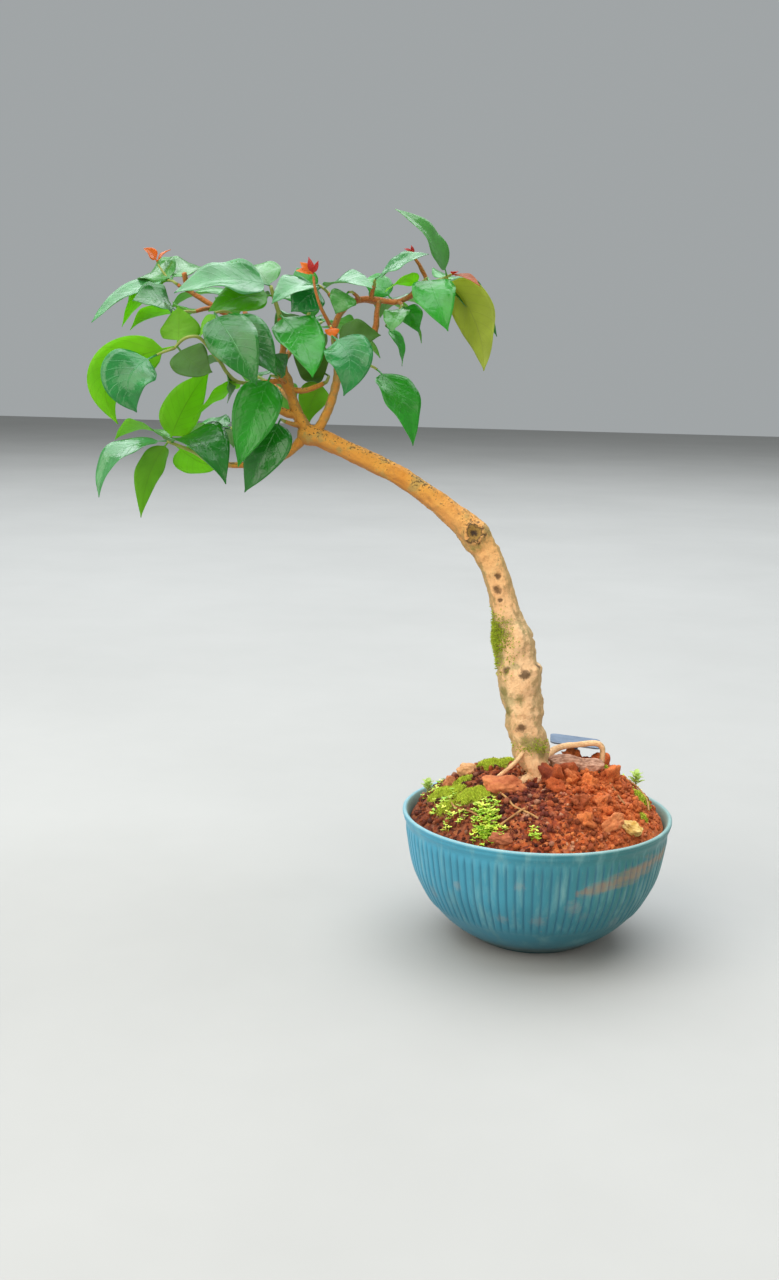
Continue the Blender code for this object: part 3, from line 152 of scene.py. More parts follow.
SPRAYS = {
    "spray_left_tip": Spray("left_tip_twig", [[(-234, -1, 406), (-238, 0, 407)],
                                              [(-237, 0, 407), (-241, 1, 412), (-244, 2, 416)]], [
        Leaf(0, 0.4, (-260, 26, 404), (-0.1, -0.6, 0.75), 26, 9),
        Leaf(0, 1.0, (-279, -22, 380), (-0.2, -0.25, 0.95), 22, 4),
        Leaf(0, 0.9, (-266, -2, 378), (-0.75, 0.5, 0.4), 16, 5),
        Leaf(0, 0.7, (-273, 34, 392), (-0.1, 0.3, 0.95), 22, 4),
        Leaf(0, 0.75, (-222, 44, 413), (0.1, -0.5, 0.8), 24, 7),
    ]),
    "spray_left_low": Spray("left_low_twig", [[(-221, -16, 388), (-226, -18, 387)]], [
        Leaf(0, 1.0, (-250, -34, 393), (-0.1, -0.65, 0.75), 27, 6),
        Leaf(0, 0.9, (-257, -16, 376), (-0.35, 0.45, 0.8), 20, 5),
        Leaf(0, 0.4, (-230, 9, 384), (0.1, 0.5, 0.85), 21, 4),
    ]),
    "spray_arch": Spray("arch_twig", [[(-190, -20, 347), (-195, -25, 352), (-198, -29, 358),
                                       (-202, -34, 364), (-208, -39, 372), (-213, -41, 373),
                                       (-218, -42, 371), (-223, -42, 366)],
                                      [(-223, -42, 366), (-228, -45, 364), (-232, -48, 362)]], [
        Leaf(0, 0.12, (-216, -24, 324), (0.2, 0.3, 0.9), 18, 4),
        Leaf(0, 0.35, (-196, -20, 334), (0.95, -0.1, 0.2), 12, 2),
        Leaf(0, 0.98, (-257, -44, 321), (-0.2, 0.95, 0.2), 30, 0, (-21, -2, 6)),
        Leaf(0, 0.97, (-197, -56, 353), (0.1, -0.85, 0.4), 24, 3, (0, 0, -4)),
        Leaf(0, 0.96, (-222, -36, 390), (0.1, 0.95, 0.1), 26, 2),
        Leaf(1, 1.0, (-241, -60, 329), (-0.3, -0.9, 0.35), 36, 2, (-8, -5, 2), 14),
    ]),
    "spray_low": Spray("low_limb", [[(-217, -15, 303), (-226, -17, 307), (-234, -18, 310)]], [
        Leaf(0, 1.0, (-269, -45, 277), (-0.4, -0.5, 0.8), 25, 0, (-9, -3, 9)),
        Leaf(0, 0.9, (-275, 10, 308), (-0.2, 0.4, 0.9), 25, 9),
        Leaf(0, 0.97, (-252, -14, 262), (-0.6, 0.7, 0.3), 19, 3, (-2, 0, 2), 18),
        Leaf(0, 0.85, (-206, 2, 294), (0.1, 0.9, 0.4), 28, 1, (0, 0, -4)),
        Leaf(0, 0.92, (-190, -52, 288), (0.35, -0.55, 0.75), 36, 14, (0, 0, 3)),
        Leaf(0, 0.95, (-208, -14, 354), (-0.3, 0.9, 0.2), 25, 4, (-2, 0, 0)),
    ]),
    "spray_front": Spray("front_twig", [[(-195, -31, 388), (-200, -37, 387)]], [
        Leaf(0, 1.0, (-170, -60, 346), (0.3, -0.9, 0.25), 31, 5),
        Leaf(0, 0.4, (-161, -44, 351), (0.2, -0.9, 0.3), 26, 4),
        Leaf(0, 0.9, (-208, -40, 373), (-0.3, -0.8, 0.5), 8, 1),
    ]),
    "spray_hanging": Spray("hanging_twig", [[(-168, -14, 350.5), (-170, -18, 351)]], [
        Leaf(0, 1.0, (-186, -36, 297), (0.1, -0.95, 0.25), 29, 5),
        Leaf(0, 0.5, (-158, -27, 364), (0.2, -0.8, 0.5), 15, 2),
    ]),
    "spray_low_front": Spray("low_front_twig", [[(-163, -15, 324.5), (-164, -17, 325)]], [
        Leaf(0, 1.0, (-184, -26, 281), (-0.1, -0.9, 0.4), 29, 6, (3, 0, 0)),
    ]),
    "spray_low_back": Spray("low_back_twig", [[(-199, 30, 313), (-206, 38, 316)]], [
        Leaf(0, 1.0, (-246, 62, 304), (-0.2, -0.1, 0.95), 26, 6),
        Leaf(0, 0.8, (-214, 82, 300), (-0.1, 0.6, 0.75), 27, 6),
        Leaf(0, 0.5, (-178, 58, 298), (0.3, 0.5, 0.75), 26, 6),
    ]),
    "spray_crown": Spray("leader_top", [[(-169, -6, 393), (-171, -8, 400), (-172, -8, 404)]], [
        Leaf(0, 1.0, (-226, -30, 398), (0, -0.7, 0.7), 33, 8),
        Leaf(0, 0.7, (-208, -18, 388), (0.1, -0.7, 0.7), 27, 5),
        Leaf(0, 0.9, (-192, 22, 416), (0, -0.5, 0.85), 24, 5),
        Leaf(0, 0.15, (-140, -46, 351), (0.3, -0.9, 0.3), 29, 6, (4, 0, -1)),
    ]),
    "spray_top": Spray("top_twig", [[(-151, 12, 393), (-150, 12, 399)]], [
        Leaf(0, 1.0, (-161, 20, 416), (0, -0.9, 0.4), 17, 3),
        Leaf(0, 0.7, (-178, 34, 402), (-0.1, -0.5, 0.8), 24, 4),
    ]),
    "spray_middle": Spray("middle_twig", [[(-141, 2, 403), (-144, 0, 405)]], [
        Leaf(0, 1.0, (-168, -26, 393), (0, -0.35, 0.9), 24, 5),
        Leaf(0, 0.6, (-109, -18, 403), (0, -0.35, 0.9), 24, 5),
        Leaf(0, 0.8, (-160, -5, 389), (0.1, -0.85, 0.4), 26, 2),
    ]),
    "spray_light": Spray("light_twig", [[(-123, -12, 401), (-124, -14, 401)]], [
        Leaf(0, 1.0, (-131, -18, 388), (0.1, -0.85, 0.4), 18, 2),
    ]),
    "spray_fold": Spray("fold_twig", [[(-131, -27, 372), (-131, -31, 375)]], [
        Leaf(0, 1.0, (-121, -50, 341), (0.3, -0.9, 0.3), 29, 5, (6, 0, 2)),
        Leaf(0, 0.5, (-103, -24, 376), (0.1, -0.75, 0.6), 21, 3),
    ]),
    "spray_lone": Spray("lone_twig", [[(-110, -12, 358), (-106, -14, 356)]], [
        Leaf(0, 1.0, (-82, -28, 312), (0.6, -0.7, 0.4), 26, 8),
    ]),
    "spray_inner": Spray("inner_twig", [[(-139, 5, 348), (-138, 6, 351)]], [
        Leaf(0, 1.0, (-162, 6, 373), (0.2, 0.9, 0.3), 26, 3, (0, 0, -4)),
        Leaf(0, 0.4, (-151, 14, 322), (0, 0.9, 0.3), 20, 4, (-4, 0, 0)),
    ]),
    "spray_high": Spray("high_twig", [[(-110, -4, 407), (-109, -5, 409)]], [
        Leaf(0, 1.0, (-76, -22, 423), (0, -0.6, 0.8), 17, 3),
    ]),
    "spray_drop": Spray("drop_twig", [[(-91.5, -11, 393.5), (-91, -13, 393)],
                                      [(-92, -11, 393.5), (-97, -5, 388), (-103, 1, 382)]], [
        Leaf(0, 1.0, (-96, -28, 378), (-0.3, -0.9, 0.3), 17, 3),
        Leaf(0, 0.5, (-82, -6, 378), (0.2, -0.75, 0.6), 15, 3),
        Leaf(1, 1.0, (-93, 6, 358), (0.8, -0.5, 0.4), 13, 4),
    ]),
    "spray_right": Spray("right_limb", [[(-80, -9, 408), (-77, -12, 410)]], [
        Leaf(0, 1.0, (-62, -42, 379), (0.1, -0.85, 0.5), 26, 6, (-1, 0, 0)),
        Leaf(0, 0.4, (-101, -24, 401), (0, 0.5, 0.85), 20, 4),
    ]),
    "spray_outer": Spray("outer_twig", [[(-69, -3, 410), (-64, -8, 412)]], [
        Leaf(0, 0.8, (-96, -24, 448), (0.55, -0.6, 0.5), 19, 8),
        Leaf(0, 0.75, (-41, -36, 357), (0.5, 0.8, 0.3), 30, 6, (3, 0, -1)),
        Leaf(0, 0.5, (-36, 12, 377), (0.6, -0.6, 0.5), 24, 6),
        Leaf(0, 0.3, (-58, 44, 404), (0.2, 0.1, 0.95), 24, 5),
    ]),
    "spray_back": Spray("back_twig", [[(-153, 42, 381), (-150, 52, 384)]], [
        Leaf(0, 1.0, (-136, 88, 370), (0.1, 0.4, 0.9), 27, 7),
        Leaf(0, 0.9, (-186, 80, 376), (-0.3, 0.3, 0.9), 27, 7),
        Leaf(0, 0.5, (-112, 54, 362), (0.5, 0.2, 0.8), 26, 7),
        Leaf(0, 0.7, (-158, 48, 416), (-0.5, -0.4, 0.7), 25, 5),
        Leaf(0, 0.3, (-160, 62, 350), (-0.2, 0.8, 0.5), 24, 6),
    ]),
    "spray_back_low": Spray("back_low_twig", [[(-186, 42, 347), (-194, 50, 350)]], [
        Leaf(0, 1.0, (-236, 66, 352), (-0.2, 0.2, 0.95), 27, 7),
        Leaf(0, 0.8, (-204, 92, 340), (-0.1, 0.6, 0.75), 27, 7),
        Leaf(0, 0.5, (-176, 72, 322), (0.4, 0.4, 0.8), 25, 7),
    ]),
    "spray_left_back": Spray("left_back_twig", [[(-200, 38, 396), (-206, 46, 398)]], [
        Leaf(0, 1.0, (-252, 56, 388), (-0.3, 0.1, 0.95), 27, 7),
        Leaf(0, 0.8, (-216, 90, 382), (-0.1, 0.4, 0.9), 27, 7),
        Leaf(0, 0.5, (-190, 66, 396), (0.3, 0.2, 0.9), 22, 5),
    ]),
    "spray_right_back": Spray("right_back_twig", [[(-108, 36, 397), (-102, 44, 398)]], [
        Leaf(0, 1.0, (-70, 72, 384), (0.3, 0.3, 0.9), 27, 7),
        Leaf(0, 0.8, (-116, 84, 388), (0.1, 0.4, 0.9), 26, 7),
        Leaf(0, 0.5, (-84, 36, 372), (0.5, 0.1, 0.8), 24, 6),
        Leaf(0, 0.9, (-124, 50, 410), (-0.2, -0.4, 0.9), 22, 5),
    ]),
}

# Young growth, orange to red. Each starts at a point just clear of what it grows on.
SHOOTS = {
    "young_leaf_left": Spray((-244.2, 2, 416.8), [[(-244.6, 2, 418)]], [
        Leaf(0, 0.8, (-252, -1, 425), (0.5, -0.4, 0.8), 10, 1),
        Leaf(0, 0.8, (-237, 6, 425), (-0.4, -0.5, 0.8), 6, 1),
    ]),
    "bud_centre": Spray((-143.2, -27, 409.6), [[(-143.6, -27, 411)]], [
        Leaf(0, 0.7, (-153, -29, 412), (-0.1, -0.7, 0.7), 5.5, 1),
        Leaf(0, 0.8, (-151, -27, 417), (-0.3, -0.7, 0.5), 5, 1),
        Leaf(0, 0.9, (-146, -27, 420), (0.1, -0.9, 0.2), 4, 1),
        Leaf(0, 0.7, (-140, -29, 418), (0.3, -0.7, 0.3), 3, 1),
    ]),
    "young_leaf_centre": Spray((-133.4, -22, 381), [[(-132.6, -23, 380)]], [
        Leaf(0, 0.8, (-131, -26, 374), (0.1, -0.95, 0.2), 9, 1),
    ]),
    "sprout_red": Spray((-86.3, -3, 422.6), [[(-87, -3, 424)]], [
        Leaf(0, 0.8, (-92, -4, 427), (0.1, -0.8, 0.6), 2.6, 1),
        Leaf(0, 0.8, (-88, -4, 429), (0.1, -0.9, 0.3), 2.4, 1),
    ]),
    "young_leaf_outer": Spray((-63.6, -8.6, 412.2), [[(-62, -10, 412.6)]], [
        Leaf(0, 0.9, (-45, -27, 405), (0.1, -0.6, 0.8), 8, 2),
        Leaf(0, 0.8, (-59, -22, 413), (0, -0.7, 0.7), 4.5, 1),
    ]),
}

# Weeds that grow in the soil: where the stem leaves the soil, its height and its number of leaves.
Seedling = namedtuple("Seedling", "foot height leaves reach")
SEEDLINGS = {
    "seedling_left": Seedling((-71, 16, 0), 9, 4, 6),
    "seedling_right": Seedling((63, 22, 0), 11, 4, 7),
}

# Stones and chips on the soil: centre, size along each axis, turn in degrees, and a number that
# picks the shape. The height of a centre is measured from the soil's surface there.
Stone = namedtuple("Stone", "centre size turn shape")
STONES = {
    "stone_flat": Stone((-20, -24, 1.5), (24, 14, 9), (14, 4, 8), 3),
    "stone_pale": Stone((-45, 6, 1.5), (12, 9, 8), (0, 10, 20), 5),
    "stone_small": Stone((-56, -2, 1.0), (7, 6, 8), (0, 0, 50), 8),
    "chip_orange": Stone((46, -48, 1.5), (13, 9, 9), (10, -20, 30), 11),
    "chip_yellow": Stone((58, -42, 1.5), (12, 9, 7), (0, 15, -25), 14),
    "stone_front": Stone((-20, -69, 0.5), (12, 7, 6), (10, 0, 0), 17),
    "bark_chip": Stone((22, 6, 2.0), (30, 13, 8), (0, -6, -8), 21),
}

# Tag: a plate that lies behind the arching root, on a stake that stands in the soil.
TAG_LENGTH = 33.0
TAG_DEPTH = 23.0
TAG_THICKNESS = 1.2
TAG_CENTRE = (23.5, 38, 118.2)
TAG_SLOPE = 5.0
STAKE_WIDTH = 7.0
STAKE_PLACE = (22, 46)
STAKE_FOOT = 84.0

# What each leaf looks like, in the order of its spray's leaves. A look carries the light that
# leaf caught as well as its green.
LOOKS = {
    "spray_left_tip": "pale glare lime bright pale",
    "spray_left_low": "deep lime bright",
    "spray_arch": "lime pale lime dull bright blue",
    "spray_low": "glare bright bright lime deep lime",
    "spray_front": "deep deep lime",
    "spray_hanging": "mid deep",
    "spray_low_front": "deep",
    "spray_low_back": "mid deep mid",
    "spray_crown": "glare bright pale mid",
    "spray_top": "mid mid",
    "spray_middle": "glare glare blue",
    "spray_light": "pale",
    "spray_fold": "blue dull",
    "spray_lone": "mid",
    "spray_inner": "dull bright",
    "spray_high": "glare",
    "spray_drop": "pale mid mid",
    "spray_right": "mid lime",
    "spray_outer": "pale olive deep mid",
    "spray_back": "mid deep mid mid deep",
    "spray_back_low": "deep mid mid",
    "spray_left_back": "mid mid deep",
    "spray_right_back": "mid deep mid mid",
    "young_leaf_left": "orange orange",
    "bud_centre": "orange orange red red",
    "young_leaf_centre": "orange",
    "sprout_red": "red red",
    "young_leaf_outer": "rust red",
}

# Leaf finishes: colour of the upper face, of its veins, of the underside, of the light that comes
# through, how much of it comes through, and the roughness of the upper face. Most are one green
# painted with the light each leaf caught: lime and bright paint light glowing through the leaf,
# glare and pale paint a sheen of sky on it, and dull paints it in shade.
LEAF_FINISHES = {
    "deep": ("0c7a0c", "1c8a16", "5c9a34", "58b80c", 0.2, 0.3),
    "blue": ("1c8c3a", "2a9644", "64a858", "5cc040", 0.22, 0.3),
    "mid": ("22a618", "30b022", "70b43c", "78d010", 0.34, 0.34),
    "dull": ("3c7008", "4a7c12", "4c8010", "86ae10", 0.3, 0.6),
    "olive": ("9cb42c", "a8be40", "acb84c", "ccd82c", 0.55, 0.42),
    "bright": ("54ac0c", "64b41c", "84c024", "94dc00", 0.5, 0.36),
    "lime": ("84c80c", "94d020", "94cc1c", "a6ec00", 0.62, 0.4),
    "pale": ("4ea444", "5eac50", "7cb868", "98d060", 0.3, 0.26),
    "glare": ("4ea45c", "5eac68", "7cbc6c", "94d068", 0.26, 0.14),
    "orange": ("f08408", "f89a20", "e88a2a", "ffa210", 0.5, 0.4),
    "rust": ("b8601c", "cc7830", "b87830", "e08a20", 0.4, 0.52),
    "red": ("b8241c", "d84a38", "c8503a", "f44a20", 0.4, 0.4),
    "weed": ("dcf090", "e4f4a0", "d8ec98", "e8ff98", 0.4, 0.55),
}

# Places on the wood (x, y, z, radius): old dark lenticels and wounds, lichen, and a healed knot.
BARK_SPOTS = [(-29.4, -7.8, 232.6, 1.9), (-29.8, -8.2, 223.9, 2.4), (-27.5, -8.4, 217.5, 1.3),
              (-22.3, -11.2, 173.9, 2.5), (-10.5, -12.8, 172.8, 2.9), (-11.8, -11.6, 138.4, 3.0),
              (-4.6, -6, 190, 1.8), (-3.2, -5, 184, 2.2), (-2.4, -5, 177, 1.9),
              (-13, -12.4, 161, 1.2)]
LICHEN_SPOTS = [(-3, -11, 127, 5.5), (-8, -11.6, 129.6, 4), (2.4, -9, 122, 3.4),
                (-1, -11, 141, 2.4), (-31, -4, 196, 9), (-29, -6, 183, 7), (-23, -5, 204, 5),
                (-24, -9, 160, 3), (-13, -13, 156, 3), (-44, -6, 251, 4), (-20, -8, 148, 3)]
KNOT = (-45.0, -8.6, 258.8, 5.2)
# Creases where an old cut healed over, as (height at x = 0, slope to the right, depth).
BARK_CREASES = [(196, -0.45, 1.3), (187, -0.2, 0.5), (175, 0.25, 0.7), (248, 0.6, 0.7),
                (150, -0.2, 0.3)]
# Moss on the bark, as (centre, reach, number of shoots).
MOSS_ON_BARK = [((-30, -5, 191), (7, 8, 16), 620), ((-4, -14, 126), (9, 7, 4), 110)]

# Moss on the soil (x, y, reach along x, reach along y, number of shoots) and leafy ground cover.
MOSS_BEDS = [(-29, 11, 12, 10, 1100), (-18, 18, 8, 6, 420), (-38, -30, 15, 11, 1900),
             (-24, -27, 7, 6, 340), (-62, -9, 9, 10, 700), (-52, -18, 9, 9, 560),
             (-47, -6, 7, 5, 200), (-56, -32, 7, 8, 260), (42, 23, 5, 4, 160), (66, -22, 3, 4, 80),
             (66, 4, 7, 10, 340), (-30, 40, 14, 12, 500), (10, 55, 14, 9, 360)]
COVER_BEDS = [(-31, -45, 8, 7, 400), (-30, -57, 9, 8, 620), (-28, -66, 10, 5, 420),
              (-1, -69, 5, 4, 90), (-50, -46, 9, 7, 160), (-66, 6, 7, 10, 120),
              (-58, -26, 9, 9, 130), (60, 30, 6, 6, 60)]
# Thin dry roots that lie on the soil, as runs of (x, y, z).
ROOTLETS = [
    [(-57, -13, 94.6), (-50, -38, 93.0), (-40, -48, 94.0), (-34, -52, 92.4), (-28, -56, 91.6)],
    [(-22.6, -32, 102.0), (-17, -41, 100.4), (-13.5, -47.7, 98.6), (-3.7, -54.7, 96.6),
     (1, -58, 93.6)],
    [(-2, -47, 99.2), (-8, -52, 98.2), (-16, -58.5, 94.0), (-21, -62, 91.0)],
    [(34, 6, 106.6), (44, -4, 103.6), (50, -16, 98.6), (54, -22, 94.2)],
    [(56, 22, 99.6), (64, 14, 96.0), (69, 2, 92.0), (70, -8, 88.0)],
]


def linear(hex_colour):
    """Turn an sRGB hex colour to a linear one."""
    parts = [int(hex_colour[start:start + 2], 16) / 255 for start in (0, 2, 4)]
    return tuple(part / 12.92 if part <= 0.04045 else ((part + 0.055) / 1.055) ** 2.4
                 for part in parts)


def add_node(tree, kind, settings=None, links=None, output=0):
    """Add a node with its settings and links, and give one of its outputs."""
    made = tree.nodes.new(kind)
    for name, value in (settings or {}).items():
        if name == "stops":
            elements = made.color_ramp.elements
            for index, (position, colour) in enumerate(value):
                element = elements[index] if index < 2 else elements.new(position)
                element.position = position
                element.color = (*colour, 1)
        elif isinstance(name, str) and hasattr(made, name):
            setattr(made, name, value)
        else:
            made.inputs[name].default_value = value
    for name, source in (links or {}).items():
        tree.links.new(source, made.inputs[name])
    return made.outputs[output]


def new_material(name, **sockets):
    """Make a material with its Principled shader's constant sockets set."""
    made = bpy.data.materials.new(name)
    made.use_nodes = True
    shader = made.node_tree.nodes["Principled BSDF"]
    for socket, value in sockets.items():
        shader.inputs[socket.replace("_", " ")].default_value = value
    return made, made.node_tree, shader


def finish_piece(piece, nodes, slot):
    """Let a piece ride with the plant and stand for the CAD nodes that it replaces."""
    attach(piece, BODY)
    if nodes:
        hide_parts(*nodes)
    return piece


class Builder:
    """Gathers points in millimetres, faces, material slots and UVs of a piece."""

    def __init__(self):
        self.points, self.faces, self.slots, self.uvs = [], [], [], []

    def add(self, points, faces, slot=0, uvs=None):
        """Add a part. The slot is one number or one for each face."""
        start = len(self.points)
        self.points += points
        self.faces += [tuple(start + corner for corner in face) for face in faces]
        self.slots += list(slot) if isinstance(slot, list) else [slot] * len(faces)
        self.uvs += uvs or [(0.5, 0.5)] * len(points)

    def piece(self, name, materials, smooth=True):
        """Make the piece."""
        mesh = bpy.data.meshes.new(name)
        mesh.from_pydata([Vector(point) * MM for point in self.points], [], self.faces)
        for each in materials:
            mesh.materials.append(each)
        mesh.polygons.foreach_set("material_index", self.slots)
        layer = mesh.uv_layers.new(name="UVMap")
        for loop in mesh.loops:
            layer.data[loop.index].uv = self.uvs[loop.vertex_index]
        if smooth:
            mesh.shade_smooth()
        piece = bpy.data.objects.new(name, mesh)
        bpy.context.scene.collection.objects.link(piece)
        return piece


def smooth_run(points, step):
    """Read points about step apart from a smooth curve through the given ones."""
    rows = [Vector(point) for point in points]
    ends = [rows[0] * 2 - rows[1]] + rows + [rows[-1] * 2 - rows[-2]]
    run = []
    for before, start, end, after in zip(ends, ends[1:], ends[2:], ends[3:]):
        count = max(1, round((end - start).length / step))
        for index in range(count):
            t = index / count
            run.append(0.5 * (2 * start + (end - before) * t
                              + (2 * before - 5 * start + 4 * end - after) * t * t
                              + (3 * start - before - 3 * end + after) * t * t * t))
    run.append(rows[-1])
    return run


def frames_along(run):
    """Give each point of a run its place, its direction and a normal that doesn't spin."""
    places = [Vector(row[:3]) for row in run]
    frames = []
    normal = None
    for index, place in enumerate(places):
        before = places[max(index - 1, 0)]
        after = places[min(index + 1, len(places) - 1)]
        direction = (after - before).normalized()
        if normal is None:
            normal = direction.orthogonal()
        normal = (normal - direction * normal.dot(direction)).normalized()
        frames.append((place, direction, normal))
    return frames


def tube_rings(run, sides, swell=None):
    """Give the rings of a tube along a run of (x, y, z, radius)."""
    rings = []
    for index, (place, direction, normal) in enumerate(frames_along(run)):
        across = direction.cross(normal)
        ring = []
        for side in range(sides):
            angle = 2 * math.pi * side / sides
            outward = normal * math.cos(angle) + across * math.sin(angle)
            radius = run[index][3] * (swell(place, outward) if swell else 1.0)
            ring.append(place + outward * radius)
        rings.append(ring)
    return rings


def add_rings(builder, rings, slot=0, dome=0.35):
    """Add a closed skin over rings of equal counts, with a low dome over each end."""
    sides = len(rings[0])
    points = [point for ring in rings for point in ring]
    faces = []
    for ring in range(len(rings) - 1):
        for side in range(sides):
            after = (side + 1) % sides
            low, high = ring * sides, (ring + 1) * sides
            faces.append((low + side, low + after, high + after, high + side))
    last = len(points) - sides
    for ring, other, start in ((rings[0], rings[1], 0), (rings[-1], rings[-2], last)):
        centre = sum(ring, Vector()) / sides
        inward = sum(other, Vector()) / sides
        reach = (ring[0] - centre).length * dome
        points.append(centre + (centre - inward).normalized() * reach)
        top = len(points) - 1
        for side in range(sides):
            after = (side + 1) % sides
            if start == 0:
                faces.append((start + after, start + side, top))
            else:
                faces.append((start + side, start + after, top))
    builder.add(points, faces, slot)


def point_along(run, share):
    """Give the point at a share of a run's length."""
    places = [Vector(row[:3]) for row in run]
    lengths = [(after - before).length for before, after in zip(places, places[1:])]
    wanted = share * sum(lengths)
    for index, length in enumerate(lengths):
        if wanted <= length:
            return places[index].lerp(places[index + 1], wanted / length)
        wanted -= length
    return places[-1]


BRANCH_STEP = 12
TWIG_STEP = 2.0
TWIG_TAPER = 0.3
LONE_TWIG_RADIUS = 0.7


def spray_runs(spray):
    """Give the twigs of a spray, the first in line with its branch's end."""
    if isinstance(spray.branch, str):
        branch = smooth_run(BRANCHES[spray.branch], BRANCH_STEP)
        end, direction, _ = frames_along(branch)[-1]
        radius = branch[-1].w * 0.92
        lead = [end - direction * 0.6, end + direction * 1.8]
    else:
        radius = LONE_TWIG_RADIUS
        lead = [Vector(spray.branch)]
    runs = []
    for index, points in enumerate(spray.twigs):
        line = [Vector(point) for point in points]
        if index == 0:
            line = lead + line
        thick = radius if index == 0 else radius * 0.75
        run = []
        for step, place in enumerate(line):
            share = step / (len(line) - 1)
            run.append((*place, thick * (1 - TWIG_TAPER * share)))
        runs.append(smooth_run(run, TWIG_STEP))
    return runs


STALK_LENGTH = 4.0
STALK_SHARE = 0.12
STALK_HALF = 0.6
STALK_ROWS = (-1.0, -0.5, 0.0)
SMALL_WIDTH = 11
LEAF_ROWS = 26
LEAF_COLUMNS = 5
LEAF_SKIN = 0.45
QUILT_PHASE = 44
QUILT_HEIGHT = 0.1
GROOVE_DEPTH = 0.05
MIDRIB_RISE = 5


def blade_half_width(t):
    """Give a blade's half width as a share of its greatest: broad low down, with a long tip."""
    greatest = 0.3407
    return max(t, 0.0) ** 0.55 * max(1 - t, 0.0) ** 1.17 / greatest


def leaf_skin(base, leaf, slot, seed, wave_depth, rows_wanted=LEAF_ROWS):
    """Give the points, faces, slots and UVs of a leaf: a stalk that widens into a folded, waved
    blade. The seed shifts the noise, so that no two leaves wave alike."""
    tip = Vector(leaf.tip)
    face = Vector(leaf.face).normalized()
    chord = tip - base
    crest = (base + tip) / 2 + (face * leaf.arch + Vector(leaf.bow)) * 2
    stalk = min(STALK_LENGTH / chord.length, STALK_SHARE)
    shift = Vector((seed * 7.3, seed * 3.1, seed * 1.7))
    count = rows_wanted // 2 if leaf.width < SMALL_WIDTH else rows_wanted
    stalk_half = min(STALK_HALF, leaf.width / 8)
    rows = []
    for t in (*STALK_ROWS, *[(index + 1) / count for index in range(count)]):
        s = stalk * (1 + t) * 0.98 if t < 0 else stalk + (1 - stalk) * t
        place = base * (1 - s) ** 2 + crest * 2 * s * (1 - s) + tip * s * s
        along = ((crest - base) * (1 - s) + (tip - crest) * s).normalized()
        up = (face - along * face.dot(along)).normalized()
        side = along.cross(up)
        twist = 0.6 * noise.noise(shift + Vector((0, 0, 5))) * max(t, 0.0)
        side, up = (side * math.cos(twist) + up * math.sin(twist),
                    up * math.cos(twist) - side * math.sin(twist))
        row = []
        for column in range(-LEAF_COLUMNS, LEAF_COLUMNS + 1):
            u = column / LEAF_COLUMNS
            half, fold, wave = stalk_half, 0.0, 0.0
            if t > 0:
                half = max(leaf.width / 2 * blade_half_width(t), 0.25, stalk_half * (1 - t * 6))
                fold = math.radians(leaf.fold) * min(1.0, t * 5)
                edge = noise.noise(Vector((t * 3.4, u * 0.9, 0)) + shift)
                wave = edge * abs(u) ** 1.6 * half * wave_depth
                quilt = math.sin((t - abs(u) * 0.16) * QUILT_PHASE) * QUILT_HEIGHT
                wave += quilt * min(1, half / 8) * (1 - u * u)
            reach = half * (math.cos(fold) * u)
            lift = half * math.sin(fold) * abs(u) ** 1.35 + wave
            row.append((place + side * reach + up * lift, up, u, max(t, 0.0)))
        rows.append(row)
    columns = 2 * LEAF_COLUMNS + 1
    points, uvs = [], []
    for sign in (1, -1):
        for index, row in enumerate(rows):
            for point, up, u, t in row:
                skin = LEAF_SKIN / 2 * (1 - 0.55 * abs(u))
                if index < len(STALK_ROWS):
                    round_skin = stalk_half * math.sqrt(max(0.0, 1 - u * u)) * (1 - 0.3 * index)
                    skin = max(skin, round_skin)
                groove = 0.0
                if t > 0:
                    groove = GROOVE_DEPTH * math.exp(-(u * 9) ** 2)
                    groove *= min(1, t * 8) * min(1, (1 - t) * 3)
                    groove *= 1 if sign > 0 else -MIDRIB_RISE
                points.append(point + up * (sign * skin - groove))
                uvs.append((u / 2 + 0.5, t))
    faces, slots = [], []
    half_count = len(rows) * columns
    for row in range(len(rows) - 1):
        for column in range(columns - 1):
            near = row * columns + column
            quad = (near, near + 1, near + columns + 1, near + columns)
            faces.append(quad)
            slots.append(slot)
            faces.append(tuple(half_count + corner for corner in reversed(quad)))
            slots.append(slot + 1)
    border = list(range(columns))
    border += [row * columns + columns - 1 for row in range(1, len(rows))]
    border += [(len(rows) - 1) * columns + column for column in range(columns - 2, -1, -1)]
    border += [row * columns for row in range(len(rows) - 2, 0, -1)]
    for corner, after in zip(border, border[1:] + border[:1]):
        faces.append((after, corner, half_count + corner, half_count + after))
        slots.append(slot)
    return points, faces, slots, uvs


def scaled(colour, factor):
    """Give a darker or lighter linear colour."""
    return tuple(min(1.0, part * factor) for part in colour)


def whereabouts(tree):
    """Give a point's place on the plant, its x and its height, in metres."""
    place = add_node(tree, "ShaderNodeTexCoord", output=3)
    return (place, *[add_node(tree, "ShaderNodeSeparateXYZ", links={0: place}, output=axis)
                     for axis in (0, 2)])


def painted_values(tree):
    """Give the two values that a piece's own UV map holds."""
    uv = add_node(tree, "ShaderNodeUVMap", {"uv_map": "UVMap"})
    return [add_node(tree, "ShaderNodeSeparateXYZ", links={0: uv}, output=axis) for axis in (0, 1)]


